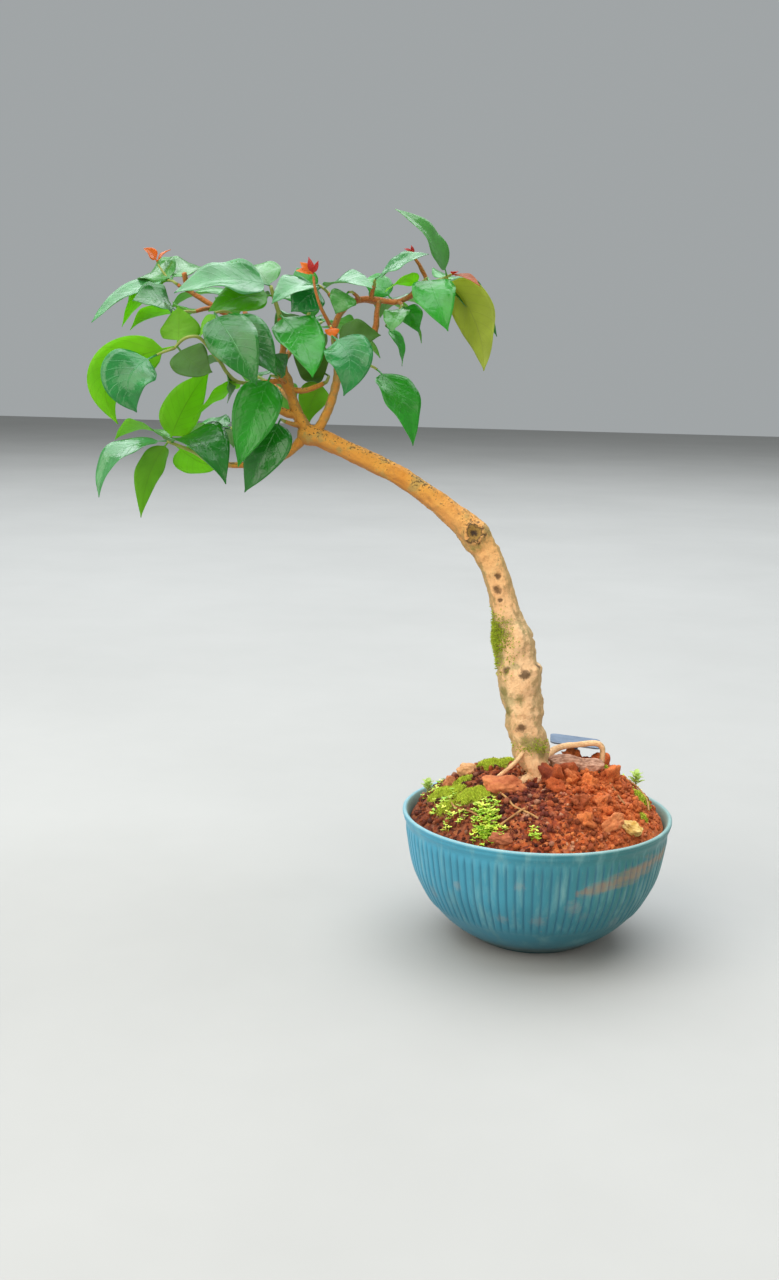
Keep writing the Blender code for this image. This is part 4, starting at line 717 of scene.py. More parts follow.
def lay_coats(tree, base, coats):
    """Lay coats over a base colour. A coat is its colour, the value that says where it lies, the
    values where it starts and is full, its strength there, and "soft" where it eases in."""
    for colour, value, start, full, strength, *soft in coats:
        mask = add_node(tree, "ShaderNodeMapRange",
                        {"interpolation_type": "SMOOTHSTEP" if soft else "LINEAR",
                         "From Min": start, "From Max": full, "To Max": strength}, {"Value": value})
        settings, links = {"data_type": "RGBA"}, {0: mask}
        for socket, tint in ((6, base), (7, colour)):
            if isinstance(tint, bpy.types.NodeSocket):
                links[socket] = tint
            else:
                settings[socket] = (*(linear(tint) if isinstance(tint, str) else tint), 1)
        base = add_node(tree, "ShaderNodeMix", settings, links, output=2)
    return base


def near_points(tree, place, points, softness, ragged):
    """Give a mask that is 1 within the radius of any (x, y, z, radius), with a ragged edge."""
    total = None
    for x, y, z, radius in points:
        radius *= MM
        away = add_node(tree, "ShaderNodeVectorMath",
                        {"operation": "DISTANCE", 1: (x * MM, y * MM, z * MM)}, {0: place}, 1)
        away = add_node(tree, "ShaderNodeMath", {"operation": "MULTIPLY_ADD", 1: radius * 3},
                        {0: ragged, 2: away})
        inner = radius * (2.5 - softness)
        outer = inner + radius * 2 * softness
        near = add_node(tree, "ShaderNodeMapRange",
                        {"interpolation_type": "SMOOTHSTEP", "From Min": outer,
                         "From Max": inner}, {"Value": away})
        total = near if total is None else add_node(tree, "ShaderNodeMath",
                                                    {"operation": "MAXIMUM"}, {0: total, 1: near})
    return total


def lay_skin(tree, shader, colour, relief, strength, depth):
    """Give a shader its colour and a fine relief, so many millimetres deep."""
    tree.links.new(colour, shader.inputs["Base Color"])
    bump = add_node(tree, "ShaderNodeBump", {"Strength": strength, "Distance": depth * MM},
                    {"Height": relief})
    tree.links.new(bump, shader.inputs["Normal"])
    return bump


# The marks on a surface are given as (width in millimetres, detail, roughness).


def mottled_material(name, dark, light, width, roughness, grit, bump):
    """Make a matt or waxed surface whose colour and height wander, with marks and grit so wide."""
    made = bpy.data.materials.get(name)
    if made:
        return made
    made, tree, shader = new_material(name, Roughness=roughness)
    place = add_node(tree, "ShaderNodeTexCoord", output=3)
    mottle, rough = [
        add_node(tree, "ShaderNodeTexNoise",
                 {"Scale": 1 / (wide * MM), "Detail": detail, "Roughness": share},
                 {"Vector": place})
        for wide, detail, share in ((width, 5.0, 0.65), (grit, 4.0, 0.5))]
    shade = add_node(tree, "ShaderNodeValToRGB",
                     {"stops": [(0.34, linear(dark)), (0.66, linear(light))]}, {"Fac": mottle})
    lay_skin(tree, shader, shade, rough, bump, 0.6)
    return made


MATT_LEAF = 0.5
SIDE_VEINS = 9.0
VEIN_SLANT = -0.5


def leaf_material(name, colour, vein, glow, through, roughness, settings, under=False):
    """Make one face of a living leaf. Its cuticle is a thin wax that shines over a quilted blade,
    and light comes through; the underside has no wax and is paler."""
    wax = 0.0 if under or roughness > MATT_LEAF else settings.wax
    made, tree, shader = new_material(name, Roughness=roughness, IOR=1.5, Coat_Weight=wax,
                                      Coat_Roughness=0.16, Coat_IOR=1.55)
    u, v = painted_values(tree)
    centred = add_node(tree, "ShaderNodeMath", {"operation": "SUBTRACT", 1: 0.5}, {0: u})
    across = add_node(tree, "ShaderNodeMath", {"operation": "ABSOLUTE"}, {0: centred})
    slant = add_node(tree, "ShaderNodeMath", {"operation": "MULTIPLY_ADD", 1: VEIN_SLANT},
                     {0: across, 2: v})
    rungs = add_node(tree, "ShaderNodeMath", {"operation": "MULTIPLY", 1: SIDE_VEINS}, {0: slant})
    rung = add_node(tree, "ShaderNodeMath", {"operation": "PINGPONG", 1: 0.5}, {0: rungs})
    # The margin takes the vein colour: a paler edge that the leaf has, with a painted highlight
    # along it.
    side_vein, midrib, margin = [
        add_node(tree, "ShaderNodeMapRange",
                 {"interpolation_type": "SMOOTHSTEP", "From Min": start, "From Max": end,
                  "To Max": strength}, {"Value": value})
        for value, start, end, strength in ((rung, 0.07, 0.0, 0.45), (across, 0.014, 0.003, 1.0),
                                            (across, 0.475, 0.5, 0.7))]
    veins = add_node(tree, "ShaderNodeMath", {"operation": "MAXIMUM"}, {0: side_vein, 1: midrib})
    lines = add_node(tree, "ShaderNodeMath", {"operation": "MAXIMUM"}, {0: veins, 1: margin})
    place = add_node(tree, "ShaderNodeTexCoord", output=3)
    mottle, crinkle = [
        add_node(tree, "ShaderNodeTexNoise",
                 {"Scale": 1 / (wide * MM), "Detail": detail, "Roughness": share,
                  "Distortion": bend},
                 {"Vector": place})
        for wide, detail, share, bend in ((14.3, 4.0, 0.6, 0.0), (5.26, 3.0, 0.5, 0.6))]
    shade = add_node(tree, "ShaderNodeValToRGB",
                     {"stops": [(0.32, scaled(linear(colour), 0.66)), (0.68, linear(colour))]},
                     {"Fac": mottle})
    base = lay_coats(tree, shade, [(vein, lines, 0.0, 1.0, 1.0)])
    relief = add_node(tree, "ShaderNodeMath", {"operation": "MULTIPLY_ADD", 1: 2.2},
                      {0: crinkle, 2: veins})
    bump = lay_skin(tree, shader, base, relief, 0.55, 0.4)
    tree.links.new(bump, shader.inputs["Coat Normal"])
    lit = lay_coats(tree, glow, [(scaled(linear(glow), 0.6), veins, 0.0, 1.0, 1.0)])
    glowing = add_node(tree, "ShaderNodeBsdfTranslucent", links={"Color": lit})
    mixed = add_node(tree, "ShaderNodeMixShader", {0: through}, {1: shader.outputs[0], 2: glowing})
    tree.links.new(mixed, tree.nodes["Material Output"].inputs["Surface"])
    return made


def leaf_faces(look, settings):
    """Give the materials of the upper face and the underside of a leaf finish, made once."""
    names = ("leaf_upper_" + look, "leaf_under_" + look)
    made = [bpy.data.materials.get(name) for name in names]
    if all(made):
        return made
    upper, vein, under, glow, through, roughness = LEAF_FINISHES[look]
    return [leaf_material(names[0], upper, vein, glow, through, roughness, settings),
            leaf_material(names[1], under, under, glow, through, 0.55, settings, True)]


def green_wood():
    """Make the smooth skin of this year's twigs."""
    return mottled_material("green_twig", "7a8a30", "a0a850", 8.33, 0.5, 2.0, 0.2)


def bark_material(settings):
    """Make living bark that flakes in thin plates: matt, blotched where a plate has peeled, with
    dark pores on the upper side of the limbs, lichen on the shaded side and old healed cuts. It
    carries painted shade under the limbs and on the sides of the wood that face left and right."""
    made, tree, shader = new_material("flaking_bark", Roughness=0.72)
    place, _, height = whereabouts(tree)
    facing = add_node(tree, "ShaderNodeTexCoord", output=1)
    sideways, upward = [add_node(tree, "ShaderNodeSeparateXYZ", links={0: facing}, output=axis)
                        for axis in (0, 2)]
    patch, flake, speck = [
        add_node(tree, "ShaderNodeTexNoise",
                 {"Scale": 1 / (wide * MM), "Detail": detail, "Roughness": share},
                 {"Vector": place})
        for wide, detail, share in ((13.3, 4.0, 0.6), (4.35, 5.0, 0.7), (1.43, 3.0, 0.6))]
    limb, beneath, above = [
        add_node(tree, "ShaderNodeMapRange",
                 {"From Min": start, "From Max": end, "To Min": first, "To Max": last},
                 {"Value": value})
        for value, start, end, first, last in (
            (height, 0.2, 0.285, 0.0, 1.0), (upward, 0.1, -0.8, 0.0, 0.7),
            (upward, -0.4, 0.9, -0.1, 0.1))]
    shaded = add_node(tree, "ShaderNodeMath", {"operation": "MULTIPLY"}, {0: beneath, 1: limb})
    pores = add_node(tree, "ShaderNodeMath", {"operation": "MULTIPLY_ADD", 1: 0.35, 2: -0.17},
                     {0: patch})
    for value in (above, speck):
        pores = add_node(tree, "ShaderNodeMath", {"operation": "ADD"}, {0: pores, 1: value})
    dark = add_node(tree, "ShaderNodeMapRange",
                    {"interpolation_type": "SMOOTHSTEP", "From Min": 0.62, "From Max": 0.7,
                     "To Max": 0.85}, {"Value": pores})
    sparse = add_node(tree, "ShaderNodeMath", {"operation": "MULTIPLY_ADD", 1: 0.75, 2: 0.25},
                      {0: limb})
    dark = add_node(tree, "ShaderNodeMath", {"operation": "MULTIPLY"}, {0: dark, 1: sparse})
    # Painted shade: the sides of the wood that face left and right turn darker olive, broken by the
    # flakes.
    aside = add_node(tree, "ShaderNodeMath", {"operation": "ABSOLUTE"}, {0: sideways})
    rim = add_node(tree, "ShaderNodeMath", {"operation": "MULTIPLY_ADD", 1: 1.4},
                   {0: flake, 2: aside})
    spots = [near_points(tree, place, points, softness, flake) for points, softness in (
        (LICHEN_SPOTS, 0.5), (BARK_SPOTS, 0.4), ([(*KNOT[:3], KNOT[3] + 0.8)], 0.2),
        ([(*KNOT[:3], KNOT[3] - 0.9)], 0.25), ([(*KNOT[:3], 2.0)], 0.5))]
    limb_skin = lay_coats(tree, settings.upper_colour, [("fabe50", patch, 0.0, 1.0, 1.0)])
    skin = lay_coats(tree, settings.lower_colour, [
        ("fedcaa", patch, 0.0, 1.0, 1.0),
        (limb_skin, limb, 0.0, 1.0, 1.0),
        ("a04c1c", height, 0.332, 0.385, 0.75),
        ("94501c", shaded, 0.0, 1.0, 1.0),
        ("b8783c", flake, 0.5, 0.64, 0.32, "soft"),
        ("98945c", patch, 0.56, 0.66, 0.5, "soft"),
        ("4c3414", dark, 0.0, 1.0, 1.0),
        ("8a7c44", rim, 1.05, 1.6, 0.6, "soft"),
        ("6c6c24", spots[0], 0.0, 1.0, 0.75),
        ("543818", spots[1], 0.0, 1.0, 0.85),
        ("4c3414", spots[2], 0.0, 1.0, 1.0),
        ("a07a34", spots[3], 0.0, 1.0, 1.0),
        ("34200e", spots[4], 0.0, 1.0, 1.0),
    ])
    rough = add_node(tree, "ShaderNodeMath", {"operation": "ADD"}, {0: flake, 1: speck})
    lay_skin(tree, shader, skin, rough, 0.75, 1.2)
    return made


# Places on the bowl (x, y, z, radius): a smear of dried wet soil, and scuffs.
SMEAR = [(26, -75, 55.5, 1.6), (34, -72.5, 57.5, 3.4), (45, -67.5, 60, 3.2), (55, -61, 61.5, 4.4),
         (63.5, -53, 64, 4.8), (74, -38, 66, 3.6), (82, -18, 66, 4.2)]
SCUFFS = [(-18, -72, 35, 3), (4, -74, 36, 4), (24.5, -75, 46, 4), (-46, -66, 52, 2.4),
          (-8, -80, 60, 2.6), (48, -48, 30, 4), (30, -66, 40, 3), (-60, -44, 40, 3)]


def pot_material(settings):
    """Make moulded polypropylene that has aged outdoors: turquoise that has faded unevenly, painted
    light on the left and painted shade to the right, in the grooves and towards the bottom, a soft
    gloss that dust and water streaks dull, and a painted highlight along the lip."""
    made, tree, shader = new_material("turquoise_plastic", IOR=1.48)
    place, x, height = whereabouts(tree)
    crest, outside = painted_values(tree)
    upright, level = [add_node(tree, "ShaderNodeMapping", {3: stretch}, {0: place})
                      for stretch in ((1.0, 1.0, 0.12), (0.4, 0.4, 1.6))]
    cloud, grain, streak, wiped = [
        add_node(tree, "ShaderNodeTexNoise",
                 {"Scale": 1 / (wide * MM), "Detail": 4.0, "Roughness": share}, {"Vector": way})
        for wide, share, way in ((38.5, 0.5, place), (3.33, 0.7, place), (8.33, 0.6, upright),
                                 (6.67, 0.65, level))]
    line = [tuple(Vector(start).lerp(Vector(end), share))
            for start, end in zip(SMEAR, SMEAR[1:]) for share in (0.0, 0.34, 0.67)]
    skin = lay_coats(tree, settings.lit_side_colour, [
        # Painted light and shade: bright blue on the left, darker teal towards the right.
        (settings.shaded_side_colour, x, -0.06, 0.055, 1.0),
        ("266e7c", cloud, 0.35, 0.7, 0.4),
        ("90bcb8", streak, 0.5, 0.75, 0.5),
        # Painted shade in the grooves between the ribs.
        ("28708a", crest, 1.0, 0.0, 1.0),
        # Painted highlight: a pale line along the top of the lip.
        ("b4d0cc", height, 0.0806, 0.0818, 0.45, "soft"),
        ("7c9a92", outside, 1.0, 0.0, 1.0),
        ("b87c44", near_points(tree, place, line, 0.9, wiped), 0.0, 1.0, 0.48),
        ("a8998a", near_points(tree, place, SCUFFS, 0.8, grain), 0.0, 1.0, 0.3),
        ("7a7458", height, 0.014, 0.001, 0.6, "soft"),
        # Painted shade: darker towards the bottom of the bowl.
        ("1c5566", height, 0.05, 0.0, 0.7),
        ("8c6c54", grain, 0.66, 0.74, 0.45, "soft"),
    ])
    dull = add_node(tree, "ShaderNodeMapRange", {"To Min": 0.3, "To Max": 0.52}, {"Value": streak})
    tree.links.new(dull, shader.inputs["Roughness"])
    lay_skin(tree, shader, skin, grain, 0.12, 0.4)
    return made


# Where old fibrous soil lies, and where the soil is freshly broken (x, y, z, radius).
FIBROUS_SOIL = [(-4, -34, 98, 11), (2, -54, 93, 12), (-8, -20, 102, 7)]
FRESH_SOIL = [(26, -12, 104, 12), (44, -22, 99, 12), (60, -30, 94, 9), (36, -40, 96, 8)]
CRUMB_WIDTH = 2.38
# Tones of the crumbs, as (share of the range, colour).
SOIL_TONES = [(0.0, "2c120e"), (0.16, "602418"), (0.32, "a84824"), (0.46, "d86c34"),
              (0.6, "7c3428"), (0.74, "ec8a4c"), (0.88, "a8604c"), (0.99, "e4ac84")]


def soil_material(settings, loose):
    """Make laterite that was broken up by hand: iron makes it brick red, each crumb has its own
    tone, the hollows of its fine relief carry painted shade, and it is green by the moss."""
    made, tree, shader = new_material("laterite_grain" if loose else "laterite_crumb",
                                      Roughness=0.95, Specular_IOR_Level=0.25)
    place, x, _ = whereabouts(tree)
    mossy, tone = painted_values(tree)
    wide, fine = [
        add_node(tree, "ShaderNodeTexNoise",
                 {"Scale": 1 / (width * MM), "Detail": detail, "Roughness": share},
                 {"Vector": place})
        for width, detail, share in ((22.2, 3.0, 0.5), (1.11, 5.0, 0.7))]
    if not loose:
        cells = add_node(tree, "ShaderNodeTexVoronoi", {"Scale": 1 / (CRUMB_WIDTH * MM)},
                         {"Vector": place}, 1)
        tone = add_node(tree, "ShaderNodeRGBToBW", links={0: cells})
    shifted = add_node(tree, "ShaderNodeMath", {"operation": "MULTIPLY_ADD", 1: 0.5},
                       {0: wide, 2: tone})
    mean = add_node(tree, "ShaderNodeMath", {"operation": "SUBTRACT", 1: 0.25}, {0: shifted})
    tones = add_node(tree, "ShaderNodeValToRGB",
                     {"stops": [(at, linear(tint)) for at, tint in SOIL_TONES]}, {"Fac": mean})
    colour = lay_coats(tree, tones, [
        ("e0743c", x, 0.0, 0.05, 0.5),
        ("5c382c", x, 0.012, -0.04, 0.55),
        ("6e3434", near_points(tree, place, FIBROUS_SOIL, 0.7, wide), 0.0, 1.0, 0.5),
        ("e87c3c", near_points(tree, place, FRESH_SOIL, 0.7, wide), 0.0, 1.0, 0.5),
        # Painted shade: darker where the fine relief dips.
        (settings.hollow_shade_colour, fine, 0.62, 0.3, 0.5),
        ("6f7a1c", mossy, 0.0, 1.0, 1.0),
    ])
    lay_skin(tree, shader, colour, fine, 0.8, 0.8)
    return made


def moss_material(settings):
    """Make moss: shoots that hold light, olive in their depth and yellow green at their tips."""
    made, tree, shader = new_material("cushion_moss", Roughness=0.8)
    tone, height = painted_values(tree)
    tips = add_node(tree, "ShaderNodeValToRGB",
                    {"stops": [(0.0, linear("9c8c2c")), (0.22, linear("9cb424")),
                               (0.55, linear("bcd030")), (1.0, settings.moss_colour)]},
                    {"Fac": tone})
    shade = lay_coats(tree, "848c18", [(tips, height, 0.0, 1.0, 1.0)])
    tree.links.new(shade, shader.inputs["Base Color"])
    return made


def creeper_material(settings):
    """Make the soft, half matt leaflets of the creeping plant, the youngest ones yellower."""
    made, tree, shader = new_material("creeping_leaf", Roughness=0.5)
    youth = painted_values(tree)[0]
    tone = lay_coats(tree, "84c020", [(settings.cover_colour, youth, 0.0, 1.0, 1.0)])
    tree.links.new(tone, shader.inputs["Base Color"])
    return made


# Sides of each kind of tube, and the distance between its rings in millimetres.
TRUNK_SIDES, TRUNK_STEP = 72, 1.1
ROOT_SIDES, BRANCH_SIDES, LIMB_STEP = 16, 14, 1.3
TWIG_SIDES = 10
ROOTLET_SIDES, ROOTLET_STEP, ROOTLET_RADIUS = 8, 1.2, 0.62
STEM_SIDES, STEM_STEP = 8, 1.5


def build_leafy(name, spray, nodes, slot, settings):
    """Make a twig's new wood with its leaves."""
    builder = Builder()
    runs = spray_runs(spray)
    for run in runs:
        add_rings(builder, tube_rings(run, TWIG_SIDES))
    looks = LOOKS[name].split()
    kinds = list(dict.fromkeys(looks))
    materials = [green_wood()]
    for look in kinds:
        materials += leaf_faces(look, settings)
    for index, (leaf, look) in enumerate(zip(spray.leaves, looks)):
        base = point_along(runs[leaf.twig], leaf.at)
        first = 1 + 2 * kinds.index(look)
        builder.add(*leaf_skin(base, leaf, first, index + len(name), settings.wave))
    return finish_piece(builder.piece(name + "_leaves", materials), nodes, slot)


def bark_relief(place, outward):
    """Give the wood's lumps, flakes, knot, creases and pits as a factor of the radius."""
    lump = 0.13 * noise.noise(place / 9.5 + outward * 0.9)
    ridge = 0.06 * noise.noise(Vector((outward.x * 3.2, outward.y * 3.2, place.z / 9)))
    flake = 0.045 * noise.noise(place / 3 + outward * 3)
    flake += 0.03 * noise.noise(place / 1.2 + outward * 6)
    surface = place + outward * 8
    away = (surface - Vector(KNOT[:3])).length
    knot = 0.15 * math.exp(-((away - KNOT[3]) / 1.5) ** 2) - 0.2 * math.exp(-(away / 2.6) ** 2)
    crease = 0.0
    for height, slope, depth in BARK_CREASES:
        off = surface.z - height - slope * (surface.x - place.x)
        reach = max(0.0, 0.5 + 1.4 * noise.noise(outward * 1.3 + Vector((0, 0, height))))
        rise = math.exp(-((off + 2.6) / 2) ** 2) - 1.3 * math.exp(-(off / 1.3) ** 2)
        crease += 0.08 * depth * reach * rise
    pit = 0.0
    for x, y, z, radius in BARK_SPOTS:
        away = (surface - Vector((x, y, z))).length
        pit += 0.07 * math.exp(-((away - radius * 1.5) / 1.2) ** 2)
        pit -= 0.12 * math.exp(-(away / radius) ** 2)
    return 1 + lump + ridge + flake + knot + crease + pit


def twig_relief(place, outward):
    """Give a woody twig's small lumps as a factor of its radius."""
    lump = 0.14 * noise.noise(place / 3.4 + outward)
    return 1 + lump + 0.06 * noise.noise(place / 1.3 + outward * 2)


def build_tree(settings):
    """Make the trunk, roots, limbs and woody twigs. Living wood has no straight edge, so the skin
    is laid in rings along given runs."""
    builder = Builder()
    add_rings(builder, tube_rings(smooth_run(TRUNK, TRUNK_STEP), TRUNK_SIDES, bark_relief))
    for group, sides in ((ROOTS, ROOT_SIDES), (BRANCHES, BRANCH_SIDES)):
        for points in group.values():
            add_rings(builder, tube_rings(smooth_run(points, LIMB_STEP), sides, twig_relief))
    return finish_piece(builder.piece("tree_wood", [bark_material(settings)]), ["tree"], "bark")


def added(primitive, **settings):
    """Add one of Blender's primitives, alone in the selection, and give it."""
    bpy.ops.object.select_all(action="DESELECT")
    primitive(**settings)
    return bpy.context.object


def turned_shell(name, outline, sides):
    """Turn an outline of (height, radius) to a closed shell: a disc whose rim is extruded."""
    height, radius = outline[0]
    piece = added(bpy.ops.mesh.primitive_circle_add, vertices=sides, radius=radius * MM,
                  fill_type="NGON", location=(0, 0, 0))
    piece.name = name
    for vert in piece.data.vertices:
        vert.co.z = height * MM
    bpy.ops.object.mode_set(mode="EDIT")
    bpy.ops.mesh.select_all(action="DESELECT")
    bpy.ops.mesh.select_mode(type="EDGE")
    bpy.ops.mesh.select_all(action="SELECT")
    bpy.ops.mesh.extrude_edges_move(TRANSFORM_OT_translate={"value": (0, 0, 0)})
    for after_height, after_radius in outline[1:]:
        bpy.ops.transform.translate(value=(0, 0, (after_height - height) * MM))
        scale = after_radius / radius
        bpy.ops.transform.resize(value=(scale, scale, 1), center_override=(0, 0, after_height * MM))
        height, radius = after_height, after_radius
        if (after_height, after_radius) != outline[-1]:
            bpy.ops.mesh.extrude_edges_move(TRANSFORM_OT_translate={"value": (0, 0, 0)})
    bpy.ops.mesh.edge_face_add()
    bpy.ops.mesh.select_all(action="SELECT")
    bpy.ops.mesh.normals_make_consistent(inside=False)
    bpy.ops.object.mode_set(mode="OBJECT")
    return piece


def drawn_outline(outline, step):
    """Give points about step apart along a smooth outline of (height, radius)."""
    run = smooth_run([(height, radius, 0, 1) for height, radius in outline], step)
    return [(point[0], point[1]) for point in run]


def rib_crest(angle, ribs):
    """Give 1 on the broad rounded crest of a rib and 0 in the narrow groove beside it."""
    phase = angle * ribs / (2 * math.pi) % 1
    edge = min(1.0, 2 * min(phase, 1 - phase) / 0.62)
    return math.sin(edge * math.pi / 2)


def paint_uv(piece, values):
    """Give each point of a piece its pair of values, as a UV map."""
    layer = piece.data.uv_layers.get("UVMap") or piece.data.uv_layers.new(name="UVMap")
    for loop in piece.data.loops:
        layer.data[loop.index].uv = values[loop.vertex_index]


SIDES_PER_RIB = 8
WALL_STEP, LIP_STEP, INNER_STEP = 2.4, 0.55, 3.2


def build_pot(settings):
    """Make the bowl: plain foot and band, broad ribs between them, and a thin rolled lip."""
    sides = settings.rib_count * SIDES_PER_RIB
    wall = drawn_outline(FOOT + LOWER_WALL + RIBBED_WALL, WALL_STEP)
    lip = drawn_outline(LIP, LIP_STEP)
    inner = drawn_outline(LIP[-1:] + INNER_WALL, INNER_STEP)
    floor = [(FLOOR + 0.6, 42), (FLOOR, 36)]
    piece = turned_shell("pot_bowl", wall + lip[1:] + inner[1:] + floor, sides)
    low, high = RIBBED_WALL[0][0], RIBBED_WALL[-1][0]
    inside_from = len(wall) + len(lip) - 3
    values = []
    for vert in piece.data.vertices:
        height = vert.co.z / MM
        radius = math.hypot(vert.co.x, vert.co.y) / MM
        row = vert.index // sides
        outer = row < inside_from
        share = (height - low) / (high - low)
        fade = max(0.0, min(1.0, share * 8 + 0.2, (1 - share) * 12 + 0.2)) if outer else 0.0
        crest = rib_crest(math.atan2(vert.co.y, vert.co.x), settings.rib_count)
        wobble = 0.12 * noise.noise(Vector((vert.co.x, vert.co.y, 0)) / MM / 14)
        reach = (radius + settings.rib_height / MM * (crest - 0.15) * fade + wobble) / radius
        if outer and share < 0 and height < 3:
            reach = 1.0
        vert.co.x *= reach
        vert.co.y *= reach
        # The first value is low in the grooves, for their painted shade; the second is 1 outside
        # and 0 inside.
        values.append((1 - (1 - crest) * fade * 0.85, 1.0 if outer else 0.0))
    paint_uv(piece, values)
    piece.data.materials.append(pot_material(settings))
    piece.data.shade_smooth()
    return finish_piece(piece, ["pot"], "pot_plastic")


def bed_share(x, y, beds):
    """Give how deep inside any bed a point lies, from 0 outside to 1 at its middle."""
    best = 0.0
    for bed_x, bed_y, reach_x, reach_y, _ in beds:
        away = math.hypot((x - bed_x) / reach_x, (y - bed_y) / reach_y)
        best = max(best, 1 - away)
    return best


def smooth_soil(x, y):
    """Give the height of the soil's mound without its crumbs."""
    reach = min(math.hypot(x, y) / SOIL_REACH, 1.0)
    height = SOIL_EDGE + SOIL_RISE * (1 - reach ** SOIL_STEEPNESS)
    for hump_x, hump_y, spread, rise in HUMPS:
        away = (x - hump_x) ** 2 + (y - hump_y) ** 2
        height += rise * math.exp(-away / (2 * spread * spread))
    return height


def soil_height(x, y):
    """Give the height of the crumbled surface of the soil."""
    place = Vector((x, y, 0))
    big = 1 - noise.voronoi(place / 8.5)[0][0] * 1.5
    small = 1 - noise.voronoi(place / 3.4 + Vector((9, 3, 0)))[0][0] * 1.4
    fine = noise.noise(place / 1.3)
    right = min(1.0, max(0.0, (x + 6) / 30))
    edge = 1 - min(math.hypot(x, y) / SOIL_REACH, 1.0) ** 9
    lift = big * (1.6 + 2.4 * right) + small * 1.1 + fine * 0.45 - 0.6
    mossy = max(0.0, min(1.0, bed_share(x, y, MOSS_BEDS) * 2.5))
    return smooth_soil(x, y) + (lift * (1 - 0.6 * mossy) + 1.2 * mossy) * edge


SOIL_SIDES = 400
SOIL_RING_STEP = 1.05
SOIL_RINGS_FROM, SOIL_RINGS_TO = 79.2, 1.2


def build_soil(settings):
    """Make the block of soil in the bowl with its crumbled surface."""
    outline = [(FLOOR + 0.3, 30), (FLOOR + 0.3, 33.5)]
    outline += [(height, radius - SOIL_GAP) for height, radius in reversed(INNER_WALL[1:])]
    outline += [(SOIL_EDGE - 2, INNER_WALL[0][1] - SOIL_GAP)]
    buried = len(outline)
    reach = SOIL_RINGS_FROM
    while reach > SOIL_RINGS_TO:
        outline.append((SOIL_EDGE + 10, reach))
        reach -= SOIL_RING_STEP
    piece = turned_shell("soil_ground", outline, SOIL_SIDES)
    values = []
    for vert in piece.data.vertices:
        x, y = vert.co.x / MM, vert.co.y / MM
        mossy = 0.0
        if vert.index // SOIL_SIDES >= buried:
            vert.co.z = soil_height(x, y) * MM
            mossy = max(0.0, min(1.0, bed_share(x, y, MOSS_BEDS) * 3))
        values.append((mossy * 0.8, 0.5))
    paint_uv(piece, values)
    piece.data.materials.append(soil_material(settings, False))
    piece.data.shade_smooth()
    return finish_piece(piece, ["soil"], "soil_crumb")


def ball_model(subdivisions):
    """Model one ball, give its points and faces, and clear it away."""
    ball = added(bpy.ops.mesh.primitive_ico_sphere_add, subdivisions=subdivisions, radius=1)
    points = [vert.co.copy() for vert in ball.data.vertices]
    faces = [tuple(face.vertices) for face in ball.data.polygons]
    bpy.data.objects.remove(ball, do_unlink=True)
    return points, faces


def broken_ball(points, centre, size, turn, shape, rough):
    """Give the points of a ball drawn out to a size and broken to lumps and flats."""
    made = []
    for way in points:
        bump = 1 + rough * noise.noise(way * 1.2 + Vector((shape, 0, 0)))
        bump += rough * 0.35 * noise.noise(way * 3.4 + Vector((0, shape, 0)))
        place = Vector([part * length / 2 * bump for part, length in zip(way, size)])
        place.rotate(turn)
        made.append(centre + place)
    return made


# How far from the pot's axis loose crumbs, moss and the creeping plant lie.
GRAIN_REACH, MOSS_REACH, COVER_REACH = 77.5, 78, 78.5
GRAIN_SIZES = (1.0, 1.2, 1.5, 1.9, 2.6, 3.6)
CLOD_SIZES = (5, 6, 7, 9, 12, 15)
LARGEST_IN_MOSS = 1.6
ANY_ANGLE = (0, 6.28)
TRUNK_CLEARANCE = 7


def free_spot(draw, reach):
    """Draw a place on the soil that is clear of the trunk."""
    while True:
        x, y = draw.uniform(-reach, reach), draw.uniform(-reach, reach)
        if math.hypot(x, y) < reach and math.hypot(x, y - 2) > TRUNK_CLEARANCE:
            return x, y


